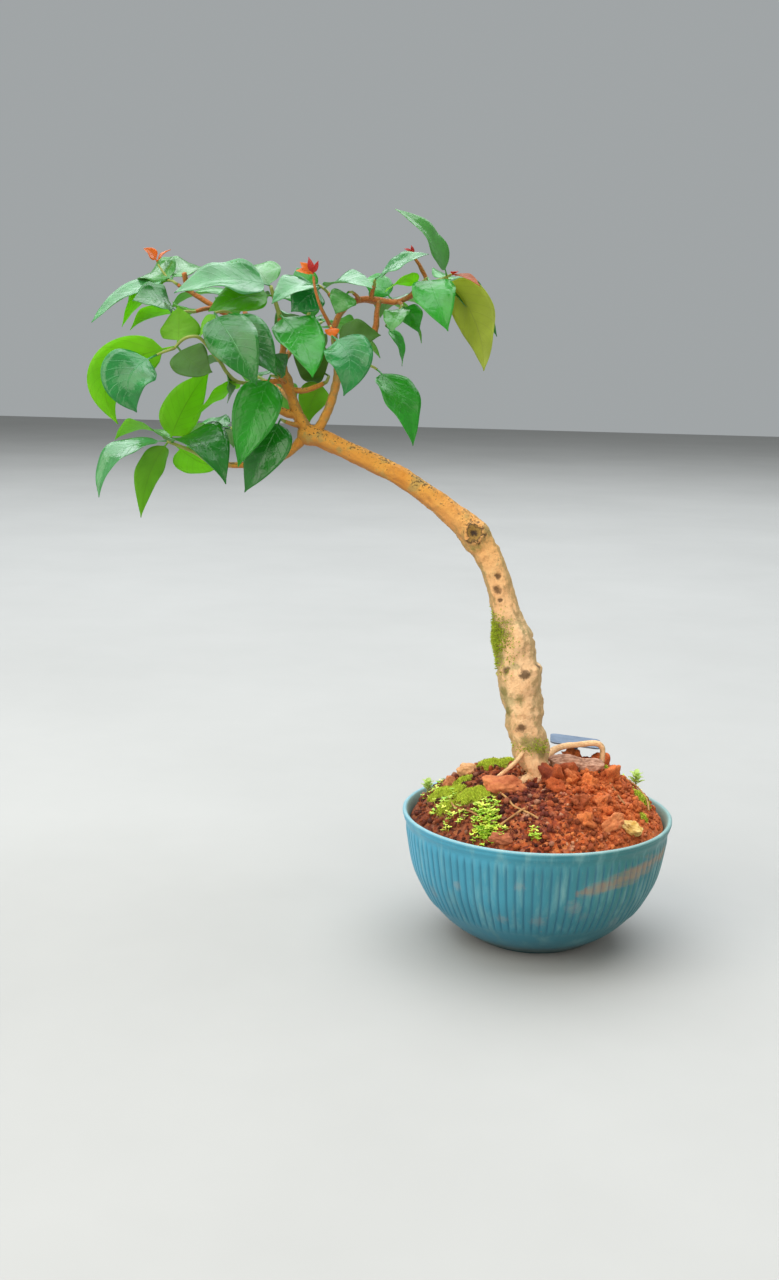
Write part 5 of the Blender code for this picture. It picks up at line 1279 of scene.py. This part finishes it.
def build_grains(settings):
    """Make the loose crumbs that lie on the soil, and the clods on its right side."""
    draw = random.Random(41)
    grain, grain_faces = ball_model(1)
    clod, clod_faces = ball_model(4)
    builder = Builder()
    for index in range(settings.grains):
        x, y = free_spot(draw, GRAIN_REACH)
        mossy = bed_share(x, y, MOSS_BEDS) > 0.15
        size = draw.choice(GRAIN_SIZES) * draw.uniform(0.8, 1.25)
        if mossy and size > LARGEST_IN_MOSS:
            continue
        tone = draw.random() ** 1.3
        turn = Euler([draw.uniform(*ANY_ANGLE) for _ in range(3)])
        lengths = [size * draw.uniform(0.7, 1.2) for _ in range(3)]
        centre = Vector((x, y, soil_height(x, y) + size * 0.22))
        made = broken_ball(grain, centre, lengths, turn, index * 0.37, 0.5)
        builder.add(made, grain_faces, 0, [(0.0, tone)] * len(made))
    for index in range(settings.clods):
        angle, away = draw.uniform(-1.15, 1.6), draw.uniform(16, 68)
        x, y = away * math.cos(angle), away * math.sin(angle)
        size = draw.choice(CLOD_SIZES) * (1.2 - away / 120)
        turn = Euler([draw.uniform(*ANY_ANGLE) for _ in range(3)])
        lengths = [size * draw.uniform(0.7, 1.15) for _ in range(3)]
        chip = STONES["bark_chip"].centre
        if abs(x - chip[0]) < 22 and -15 < y - chip[1] < 12:
            size *= 0.4
            lengths = [length * 0.4 for length in lengths]
        centre = Vector((x, y, smooth_soil(x, y) + size * 0.16))
        made = broken_ball(clod, centre, lengths, turn, index * 1.7, 0.85)
        made = [point + (point - centre).normalized() * 0.9 * noise.noise(point / 1.7)
                for point in made]
        builder.add(made, clod_faces, 0, [(0.0, draw.uniform(0.2, 0.85))] * len(made))
    for _ in range(settings.fibres):
        x, y = draw.uniform(-24, 40), draw.uniform(-66, -18)
        foot = Vector((x, y, soil_height(x, y) + 0.2))
        angle = draw.uniform(*ANY_ANGLE)
        x, y = x + math.cos(angle) * draw.uniform(3, 8), y + math.sin(angle) * draw.uniform(3, 8)
        top = Vector((x, y, soil_height(x, y) + draw.uniform(0.3, 2.2)))
        values = [(0.0, draw.choice((0.0, 0.05, 0.6)))] * 5
        builder.add(spindle(foot, top, 0.2), SPINDLE_FACES, 0, values)
    piece = builder.piece("soil_grains", [soil_material(settings, True)])
    return finish_piece(piece, [], "soil_crumb")


SPINDLE_FACES = [(0, 2, 1), (0, 3, 2), (0, 1, 3), (4, 1, 2), (4, 2, 3), (4, 3, 1)]


def spindle(foot, top, thick, belly=0.45):
    """Give the points of a closed shoot: three-sided, pointed at both ends."""
    way = (top - foot).normalized()
    side = way.orthogonal().normalized()
    other = way.cross(side)
    middle = foot.lerp(top, belly)
    points = [foot]
    for angle in (0, math.tau / 3, math.tau * 2 / 3):
        points.append(middle + (side * math.cos(angle) + other * math.sin(angle)) * thick)
    return points + [top]


def bed_spots(draw, bed, count, crowding, raggedness, reach):
    """Draw places in a bed, crowded to its middle, with how far out each is from 0 to 1."""
    bed_x, bed_y, reach_x, reach_y, _ = bed
    for _ in range(count):
        away, angle = draw.random() ** crowding, draw.uniform(0, math.tau)
        way = Vector((math.cos(angle), math.sin(angle)))
        edge = 1 + raggedness * (noise.noise(Vector((*way * 2, bed_x))) - 0.5)
        x, y = bed_x + reach_x * away * edge * way.x, bed_y + reach_y * away * edge * way.y
        if math.hypot(x, y) <= reach:
            yield x, y, away


def build_moss(settings):
    """Make the cushions of moss on the soil and on the trunk's bark."""
    draw = random.Random(77)
    builder = Builder()
    for bed in MOSS_BEDS:
        count = int(bed[-1] * settings.moss_density)
        for x, y, away in bed_spots(draw, bed, count, 0.62, 0.5, MOSS_REACH):
            foot = Vector((x, y, soil_height(x, y) - 0.4))
            length = draw.uniform(1.6, 3.4) * (1.15 - 0.4 * away)
            lean = Vector([draw.uniform(*span) for span in ((-1, 1), (-1, 1), (0.7, 1.6))])
            top = foot + lean.normalized() * length
            points = spindle(foot, top, draw.uniform(0.28, 0.5))
            tone = draw.random()
            values = [(tone, 0.1)] + [(tone, 0.55)] * 3 + [(tone, 1.0)]
            builder.add(points, SPINDLE_FACES, 0, values)
    for centre, reach, count in MOSS_ON_BARK:
        count = int(count * settings.moss_density)
        spread_over_bark(builder, draw, Vector(centre), Vector(reach), count)
    piece = builder.piece("moss_cushions", [moss_material(settings)], False)
    return finish_piece(piece, [], "weed")


def spread_over_bark(builder, draw, centre, reach, count):
    """Plant moss shoots on the trunk's skin about a place."""
    run = smooth_run(TRUNK, TRUNK_STEP)
    frames = frames_along(run)
    for _ in range(count):
        height = centre.z + reach.z * draw.gauss(0, 0.5)
        index = min(range(len(frames)), key=lambda row: abs(frames[row][0].z - height))
        place = frames[index][0]
        facing = math.atan2(centre.y - place.y, centre.x - place.x) + draw.gauss(0, 0.55)
        outward = Vector((math.cos(facing), math.sin(facing), 0))
        foot = place + outward * run[index][3] * 0.95
        foot.z = height
        spans = ((-0.6, 0.6), (-0.6, 0.6), (-0.9, 0.5))
        lean = (outward + Vector([draw.uniform(*span) for span in spans])).normalized()
        top = foot + lean * draw.uniform(1.0, 2.8)
        points = spindle(foot, top, draw.uniform(0.25, 0.45))
        tone = draw.random() * 0.8
        builder.add(points, SPINDLE_FACES, 0, [(tone, 0.1)] + [(tone, 0.5)] * 3 + [(tone, 0.9)])


LEAFLET_EDGE = ((0.0, 0.0), (0.35, 0.9), (0.75, 0.8), (1.0, 0.0), (0.75, -0.8), (0.35, -0.9))


def leaflet(centre, way, normal, length, width):
    """Give the points of a small closed leaf: six round its edge, one above and one below."""
    side = normal.cross(way).normalized()
    points = []
    for along, across in LEAFLET_EDGE:
        points.append(centre + way * length * along + side * width / 2 * across)
    middle = centre + way * length * 0.5
    return points + [middle + normal * 0.12, middle - normal * 0.22]


LEAFLET_FACES = [(side, (side + 1) % 6, 6) for side in range(6)]
LEAFLET_FACES += [((side + 1) % 6, side, 7) for side in range(6)]


def build_cover(settings):
    """Make the low creeping plant: rosettes of round leaflets on thread-like stems."""
    draw = random.Random(23)
    builder = Builder()
    for bed in COVER_BEDS:
        for x, y, _ in bed_spots(draw, bed, bed[-1] // 6, 0.6, 0.0, COVER_REACH):
            foot = Vector((x, y, soil_height(x, y) - 0.5))
            spans = ((-1.5, 1.5), (-2, 1), (1.4, 3.8))
            top = foot + Vector([draw.uniform(*span) for span in spans])
            builder.add(spindle(foot, top, 0.22), SPINDLE_FACES, 0, [(0.5, 0.3)] * 5)
            leaves = draw.choice((3, 4, 4, 5))
            start = draw.uniform(*ANY_ANGLE)
            tone = draw.random()
            for turn in range(leaves):
                angle = start + turn * math.tau / leaves
                way = Vector((math.cos(angle), math.sin(angle), draw.uniform(-0.1, 0.6)))
                way.normalize()
                normal = (Vector((0, 0, 1)) - way * way.z).normalized()
                length = draw.uniform(1.3, 2.5)
                points = leaflet(top, way, normal, length, length * draw.uniform(0.55, 0.8))
                builder.add(points, LEAFLET_FACES, 0, [(tone, 0.85)] * 8)
    made = creeper_material(settings)
    return finish_piece(builder.piece("creeping_plant", [made], False), [], "weed")


def build_rootlets():
    """Make the thin dry rootlets that lie on the soil."""
    builder = Builder()
    for points in ROOTLETS:
        run = []
        for x, y, z in points:
            run.append((x, y, max(z, soil_height(x, y) + 0.7), ROOTLET_RADIUS))
        rings = tube_rings(smooth_run(run, ROOTLET_STEP), ROOTLET_SIDES, twig_relief)
        add_rings(builder, rings)
    dry = mottled_material("dry_root", "8a5a30", "c8985c", 6.25, 0.8, 1.43, 0.3)
    return finish_piece(builder.piece("surface_rootlets", [dry]), [], "bark")


# How much larger than its CAD ball a stone is, since it is broken and sinks into crumbs, and how
# far it is raised. The chip of bark lies on top of the crumbs.
STONE_SWELL, STONE_RAISE = 1.14, 0.8
CHIP_SWELL, CHIP_RAISE = 1.3, 1.8
# How each stone looks: its slot, its dark and pale colour and how broken it is.
STONE_FINISHES = {
    "stone_flat": ("laterite_stone", "a8522c", "dc8854", 0.34),
    "stone_pale": ("pale_stone", "b07848", "e8b07c", 0.35),
    "stone_small": ("laterite_stone", "a86038", "d89060", 0.35),
    "chip_orange": ("laterite_stone", "b0582c", "e09058", 0.5),
    "chip_yellow": ("pale_stone", "c09038", "ecd088", 0.45),
    "stone_front": ("laterite_stone", "8a4428", "c07048", 0.4),
    "bark_chip": ("dry_bark", "805844", "d4a488", 0.45),
}


def build_stone(name, stone):
    """Make a stone: a ball drawn out to its size, with broken flats and grit."""
    slot, dark, light, rough = STONE_FINISHES[name]
    chip = name == "bark_chip"
    swell, lifted = (CHIP_SWELL, CHIP_RAISE) if chip else (STONE_SWELL, STONE_RAISE)
    piece = added(bpy.ops.mesh.primitive_ico_sphere_add, subdivisions=5, radius=1)
    piece.name = name + "_dressed"
    turn = Euler([math.radians(angle) for angle in stone.turn])
    x, y, lift = stone.centre
    centre = Vector((x, y, smooth_soil(x, y) + lift))
    ways = [vert.co.normalized() for vert in piece.data.vertices]
    size = [length * swell for length in stone.size]
    raised = centre + Vector((0, 0, lifted))
    places = broken_ball(ways, raised, size, turn, stone.shape, rough)
    for vert, place in zip(piece.data.vertices, places):
        grit = noise.noise(place / 1.6) * 0.3 + noise.noise(place / 0.7) * 0.12
        if chip:
            grit = 0.7 * math.sin(place.y * 2.6 + noise.noise(place / 6) * 5)
        vert.co = (place + (place - centre).normalized() * grit) * MM
    made = mottled_material(name + "_face", dark, light, 5.88, 0.9, 1.43, 0.7)
    piece.data.materials.append(made)
    piece.data.shade_smooth()
    return finish_piece(piece, [name], slot)


TAG_CORNER = 4.0
TAG_ROUNDING = 0.3


def build_tag():
    """Make the blank plastic tag: a slanting plate with round corners, and its upright stake."""
    pale = mottled_material("pale_plastic", "66788f", "8496ac", 16.7, 0.2, 2.0, 0.04)
    turn = Euler((0, math.radians(TAG_SLOPE), 0))
    x, y, z = TAG_CENTRE
    top = z - TAG_THICKNESS / 2 - math.tan(math.radians(TAG_SLOPE)) * (STAKE_PLACE[0] - x) - 0.4
    blocks = [((TAG_LENGTH, TAG_DEPTH, TAG_THICKNESS), Vector(TAG_CENTRE), turn, TAG_CORNER),
              ((STAKE_WIDTH, TAG_THICKNESS, top - STAKE_FOOT),
               Vector((*STAKE_PLACE, (top + STAKE_FOOT) / 2)), Euler(), 0.0)]
    made = []
    for size, centre, way, corner in blocks:
        piece = added(bpy.ops.mesh.primitive_cube_add, size=1)
        for vert in piece.data.vertices:
            vert.co = Vector([part * length * MM for part, length in zip(vert.co, size)])
        if corner:
            bpy.ops.object.mode_set(mode="EDIT")
            bpy.ops.mesh.select_all(action="DESELECT")
            bpy.ops.object.mode_set(mode="OBJECT")
            for edge in piece.data.edges:
                low, high = [piece.data.vertices[index].co for index in edge.vertices]
                edge.select = abs(low.z - high.z) > 0.5 * TAG_THICKNESS * MM
            bpy.ops.object.mode_set(mode="EDIT")
            bpy.ops.mesh.select_mode(type="EDGE")
            bpy.ops.mesh.bevel(offset=corner * MM, segments=6)
            bpy.ops.object.mode_set(mode="OBJECT")
        rounding = piece.modifiers.new("rounding", "BEVEL")
        rounding.width = TAG_ROUNDING * MM
        rounding.segments = 3
        rounding.limit_method = "ANGLE"
        bpy.ops.object.modifier_apply(modifier="rounding")
        for vert in piece.data.vertices:
            place = vert.co / MM
            place.rotate(way)
            vert.co = (place + centre) * MM
        piece.data.materials.append(pale)
        made.append(piece)
    made[0].name, made[1].name = "tag_plate", "tag_stake"
    for piece in made:
        finish_piece(piece, ["plastic_tag"], "tag_plastic")


GOLDEN_ANGLE = 2.4
WEED_LEAF_ROWS = 12


def build_weed(name, seedling, settings):
    """Make a small weed: a stem with leaves that open round its top."""
    x, y, _ = seedling.foot
    foot = Vector((x, y, smooth_soil(x, y)))
    rise = Vector((0, 0, seedling.height))
    builder = Builder()
    run = [(*(foot - Vector((0, 0, 4))), 0.6), (*(foot + rise / 2), 0.55), (*(foot + rise), 0.5)]
    add_rings(builder, tube_rings(smooth_run(run, STEM_STEP), STEM_SIDES))
    count = seedling.leaves * 3
    for index in range(count):
        angle = GOLDEN_ANGLE * index
        share = 0.35 + 0.62 * index / (count - 1)
        base = foot + rise * share
        outward = Vector((math.cos(angle), math.sin(angle), 0.55))
        leaf = Leaf(0, 0, tuple(base + outward * seedling.reach * (0.95 - 0.35 * share)),
                    (-outward.x * 0.4, -outward.y * 0.4, 1), 3.6, 0.4)
        builder.add(*leaf_skin(base, leaf, 1, index, settings.wave, WEED_LEAF_ROWS))
    piece = builder.piece(name + "_weed", [green_wood(), *leaf_faces("weed", settings)])
    return finish_piece(piece, [name], "weed")


EYE = Vector((0.0, -922.03, 371.12)) * MM
LENS_MM = 42.1875
SENSOR_MM = 36
FLOOR_SIZE = 12
LIGHT_SPREAD = math.radians(150)
LIGHT_AIM = Vector((-0.1, 0, 0.25))
YAW, PITCH, ROLL = math.radians(-5.97), math.radians(11.16), math.radians(1.23)
# Softboxes: place, width, power share, colour.
LIGHTS = {
    "sky_softbox": ((-0.25, 1.1, 3.2), 5.0, 1.0, "f4faff"),
    "window_softbox": ((-1.2, -1.0, 1.1), 2.0, 0.12, "fffaf0"),
    "fill_softbox": ((0.9, -1.3, 0.8), 1.2, 0.025, "fff6ea"),
}


def build_stage(settings):
    """Make the pale floor, the soft lights and the camera at the photograph's angle."""
    floor = added(bpy.ops.mesh.primitive_plane_add, size=FLOOR_SIZE)
    floor.name = "studio_floor"
    paper = mottled_material("studio_paper", "a8a7a4", "aeadaa", 500.0, 0.9, 20.0, 0.02)
    floor.data.materials.append(paper)
    level = Vector((math.sin(YAW), math.cos(YAW), 0))
    forward = level * math.cos(PITCH) - Vector((0, 0, math.sin(PITCH)))
    right = forward.cross(Vector((0, 0, 1))).normalized()
    up = right.cross(forward)
    tilted_right = right * math.cos(ROLL) + up * math.sin(ROLL)
    tilted_up = up * math.cos(ROLL) - right * math.sin(ROLL)
    lens = bpy.data.cameras.new("photo_camera")
    lens.lens = LENS_MM
    lens.sensor_width = SENSOR_MM
    camera = bpy.data.objects.new("photo_camera", lens)
    bpy.context.scene.collection.objects.link(camera)
    turned = Matrix((tilted_right, tilted_up, -forward)).transposed().to_4x4()
    camera.matrix_world = Matrix.Translation(EYE) @ turned
    bpy.context.scene.camera = camera
    for name, (place, size, share, colour) in LIGHTS.items():
        data = bpy.data.lights.new(name, "AREA")
        data.energy = settings.light_power * share
        data.size = size
        data.color = linear(colour)
        data.spread = LIGHT_SPREAD
        light = bpy.data.objects.new(name, data)
        bpy.context.scene.collection.objects.link(light)
        light.location = place
        aim = LIGHT_AIM - Vector(place)
        light.rotation_euler = aim.to_track_quat("-Z", "Y").to_euler()
    world = bpy.data.worlds.new("studio_air")
    world.use_nodes = True
    air = world.node_tree.nodes["Background"]
    air.inputs["Color"].default_value = (*settings.air_colour, 1)
    air.inputs["Strength"].default_value = settings.air_strength
    bpy.context.scene.world = world
    bpy.context.scene.view_settings.view_transform = "Standard"


def colour_property(name, description, hex_colour):
    """Give a colour property with an sRGB hex default."""
    return FloatVectorProperty(name=name, description=description, subtype="COLOR", size=3, min=0.0,
                               max=1.0, default=linear(hex_colour))


class PotSettings(PropertyGroup):
    """What a user would change on the bowl."""

    rib_count: IntProperty(name="Ribs", description="Number of upright ribs round the bowl",
                           default=96, min=24, max=160)
    rib_height: FloatProperty(name="Rib height", description="How far a rib stands out",
                              default=0.0009, min=0.0, max=0.002, precision=4,
                              subtype="DISTANCE", unit="LENGTH")
    # The two colours paint light and shade across the bowl: lit on the left, shaded to the right.
    lit_side_colour: colour_property("Lit side plastic", "Plastic on the side painted as lit",
                                   "48a4c4")
    shaded_side_colour: colour_property("Shaded side plastic", "Plastic on the side painted in shade", "2c7470")


class SoilSettings(PropertyGroup):
    """What a user would change on the soil and what grows on it."""

    grains: IntProperty(name="Grains", description="Number of loose crumbs", default=3600, min=0,
                        max=6000)
    clods: IntProperty(name="Clods", description="Number of big lumps on the right", default=62,
                       min=0, max=90)
    fibres: IntProperty(name="Fibres", description="Number of thin dead roots on the soil",
                        default=260, min=0, max=900)
    moss_density: FloatProperty(name="Moss density", description="How crowded moss shoots are",
                                default=2.6, min=0.2, max=5.0, subtype="FACTOR")
    # Colour of the painted shade in the soil's hollows.
    hollow_shade_colour: colour_property("Hollow shade", "Colour of the painted shade in the hollows between crumbs", "3a1c14")
    moss_colour: colour_property("Moss tips", "Colour of the brightest moss tips", "f0fc60")
    cover_colour: colour_property("Creeping plant", "Colour of its youngest leaflets", "f0f860")


class BarkSettings(PropertyGroup):
    """What a user would change on the bark."""

    lower_colour: colour_property("Lower bark", "Bark of the lower trunk", "f2b47c")
    upper_colour: colour_property("Upper bark", "Bark of the upper trunk and the limbs", "d87c1c")


class LeafSettings(PropertyGroup):
    """What a user would change on the leaves."""

    wave: FloatProperty(name="Wave", description="How far a blade's edge waves, in half widths",
                        default=0.34, min=0.0, max=0.6, subtype="FACTOR")
    wax: FloatProperty(name="Wax", description="How much the cuticle shines", default=0.46,
                       min=0.0, max=1.0, subtype="FACTOR")


class StageSettings(PropertyGroup):
    """What a user would change on the studio."""

    light_power: FloatProperty(name="Light power", description="Power of the largest softbox",
                               default=185.0, min=0.0, max=500.0, subtype="POWER", unit="POWER")
    air_strength: FloatProperty(name="Air strength", description="Brightness of the studio's air",
                                default=0.44, min=0.0, max=3.0)
    air_colour: colour_property("Air colour", "Colour of the studio's air", "e8eef0")


class BONSAI_OT_bowl(Operator):
    """Make the ribbed bowl."""

    bl_idname = "bonsai.bowl"
    bl_label = "Ribbed bowl"

    def execute(self, context):
        build_pot(context.scene.bonsai_pot)
        return {"FINISHED"}


class BONSAI_OT_ground(Operator):
    """Make the soil, its loose crumbs and the stones on it."""

    bl_idname = "bonsai.ground"
    bl_label = "Soil and stones"

    def execute(self, context):
        settings = context.scene.bonsai_soil
        build_soil(settings)
        build_grains(settings)
        for name, stone in STONES.items():
            build_stone(name, stone)
        return {"FINISHED"}


class BONSAI_OT_wood(Operator):
    """Make the trunk, its roots and limbs, and the rootlets on the soil."""

    bl_idname = "bonsai.wood"
    bl_label = "Wood"

    def execute(self, context):
        build_tree(context.scene.bonsai_bark)
        build_rootlets()
        return {"FINISHED"}


class BONSAI_OT_leaves(Operator):
    """Make each leafy spray and each red or orange shoot."""

    bl_idname = "bonsai.leaves"
    bl_label = "Leaves"

    def execute(self, context):
        settings = context.scene.bonsai_leaf
        for name, spray in SPRAYS.items():
            build_leafy(name, spray, [name], "leaf", settings)
        for name, spray in SHOOTS.items():
            build_leafy(name, spray, [name], "young_leaf", settings)
        return {"FINISHED"}


class BONSAI_OT_undergrowth(Operator):
    """Make the moss, the creeping plant and the two weeds."""

    bl_idname = "bonsai.undergrowth"
    bl_label = "Moss and weeds"

    def execute(self, context):
        build_moss(context.scene.bonsai_soil)
        build_cover(context.scene.bonsai_soil)
        for name, seedling in SEEDLINGS.items():
            build_weed(name, seedling, context.scene.bonsai_leaf)
        return {"FINISHED"}


class BONSAI_OT_tag(Operator):
    """Make the blank plastic tag."""

    bl_idname = "bonsai.tag"
    bl_label = "Tag"

    def execute(self, context):
        build_tag()
        return {"FINISHED"}


class BONSAI_OT_stage(Operator):
    """Make the floor, the lights and the camera."""

    bl_idname = "bonsai.stage"
    bl_label = "Stage"

    def execute(self, context):
        build_stage(context.scene.bonsai_stage)
        return {"FINISHED"}


class BONSAI_PT_sidebar(Panel):
    """Lists the bonsai's settings and its pieces."""

    bl_label = "Bonsai"
    bl_idname = "BONSAI_PT_sidebar"
    bl_space_type = "VIEW_3D"
    bl_region_type = "UI"
    bl_category = "Bonsai"

    def draw(self, context):
        for group, names in GROUPS.items():
            box = self.layout.box()
            for name in names:
                box.prop(getattr(context.scene, group), name)
        for operator in OPERATORS:
            self.layout.operator(operator.bl_idname)


GROUPS = {
    "bonsai_pot": ("rib_count", "rib_height", "lit_side_colour", "shaded_side_colour"),
    "bonsai_soil": ("grains", "clods", "fibres", "moss_density", "hollow_shade_colour", "moss_colour",
                    "cover_colour"),
    "bonsai_bark": ("lower_colour", "upper_colour"),
    "bonsai_leaf": ("wave", "wax"),
    "bonsai_stage": ("light_power", "air_strength", "air_colour"),
}
KINDS = {"bonsai_pot": PotSettings, "bonsai_soil": SoilSettings, "bonsai_bark": BarkSettings,
         "bonsai_leaf": LeafSettings, "bonsai_stage": StageSettings}
OPERATORS = (BONSAI_OT_bowl, BONSAI_OT_ground, BONSAI_OT_wood, BONSAI_OT_leaves,
             BONSAI_OT_undergrowth, BONSAI_OT_tag, BONSAI_OT_stage)


def register():
    """Make the settings, the operators and the panel known to Blender."""
    for kind in KINDS.values():
        bpy.utils.register_class(kind)
    for group, kind in KINDS.items():
        setattr(bpy.types.Scene, group, PointerProperty(type=kind))
    for operator in OPERATORS:
        bpy.utils.register_class(operator)
    bpy.utils.register_class(BONSAI_PT_sidebar)


def unregister():
    """Take them out again."""
    bpy.utils.unregister_class(BONSAI_PT_sidebar)
    for operator in reversed(OPERATORS):
        bpy.utils.unregister_class(operator)
    for group, kind in KINDS.items():
        delattr(bpy.types.Scene, group)
        bpy.utils.unregister_class(kind)


def main():
    """Make every piece in order."""
    register()
    bpy.ops.bonsai.bowl()
    bpy.ops.bonsai.ground()
    bpy.ops.bonsai.wood()
    bpy.ops.bonsai.leaves()
    bpy.ops.bonsai.undergrowth()
    bpy.ops.bonsai.tag()
    bpy.ops.bonsai.stage()


if __name__ == "__main__":
    main()
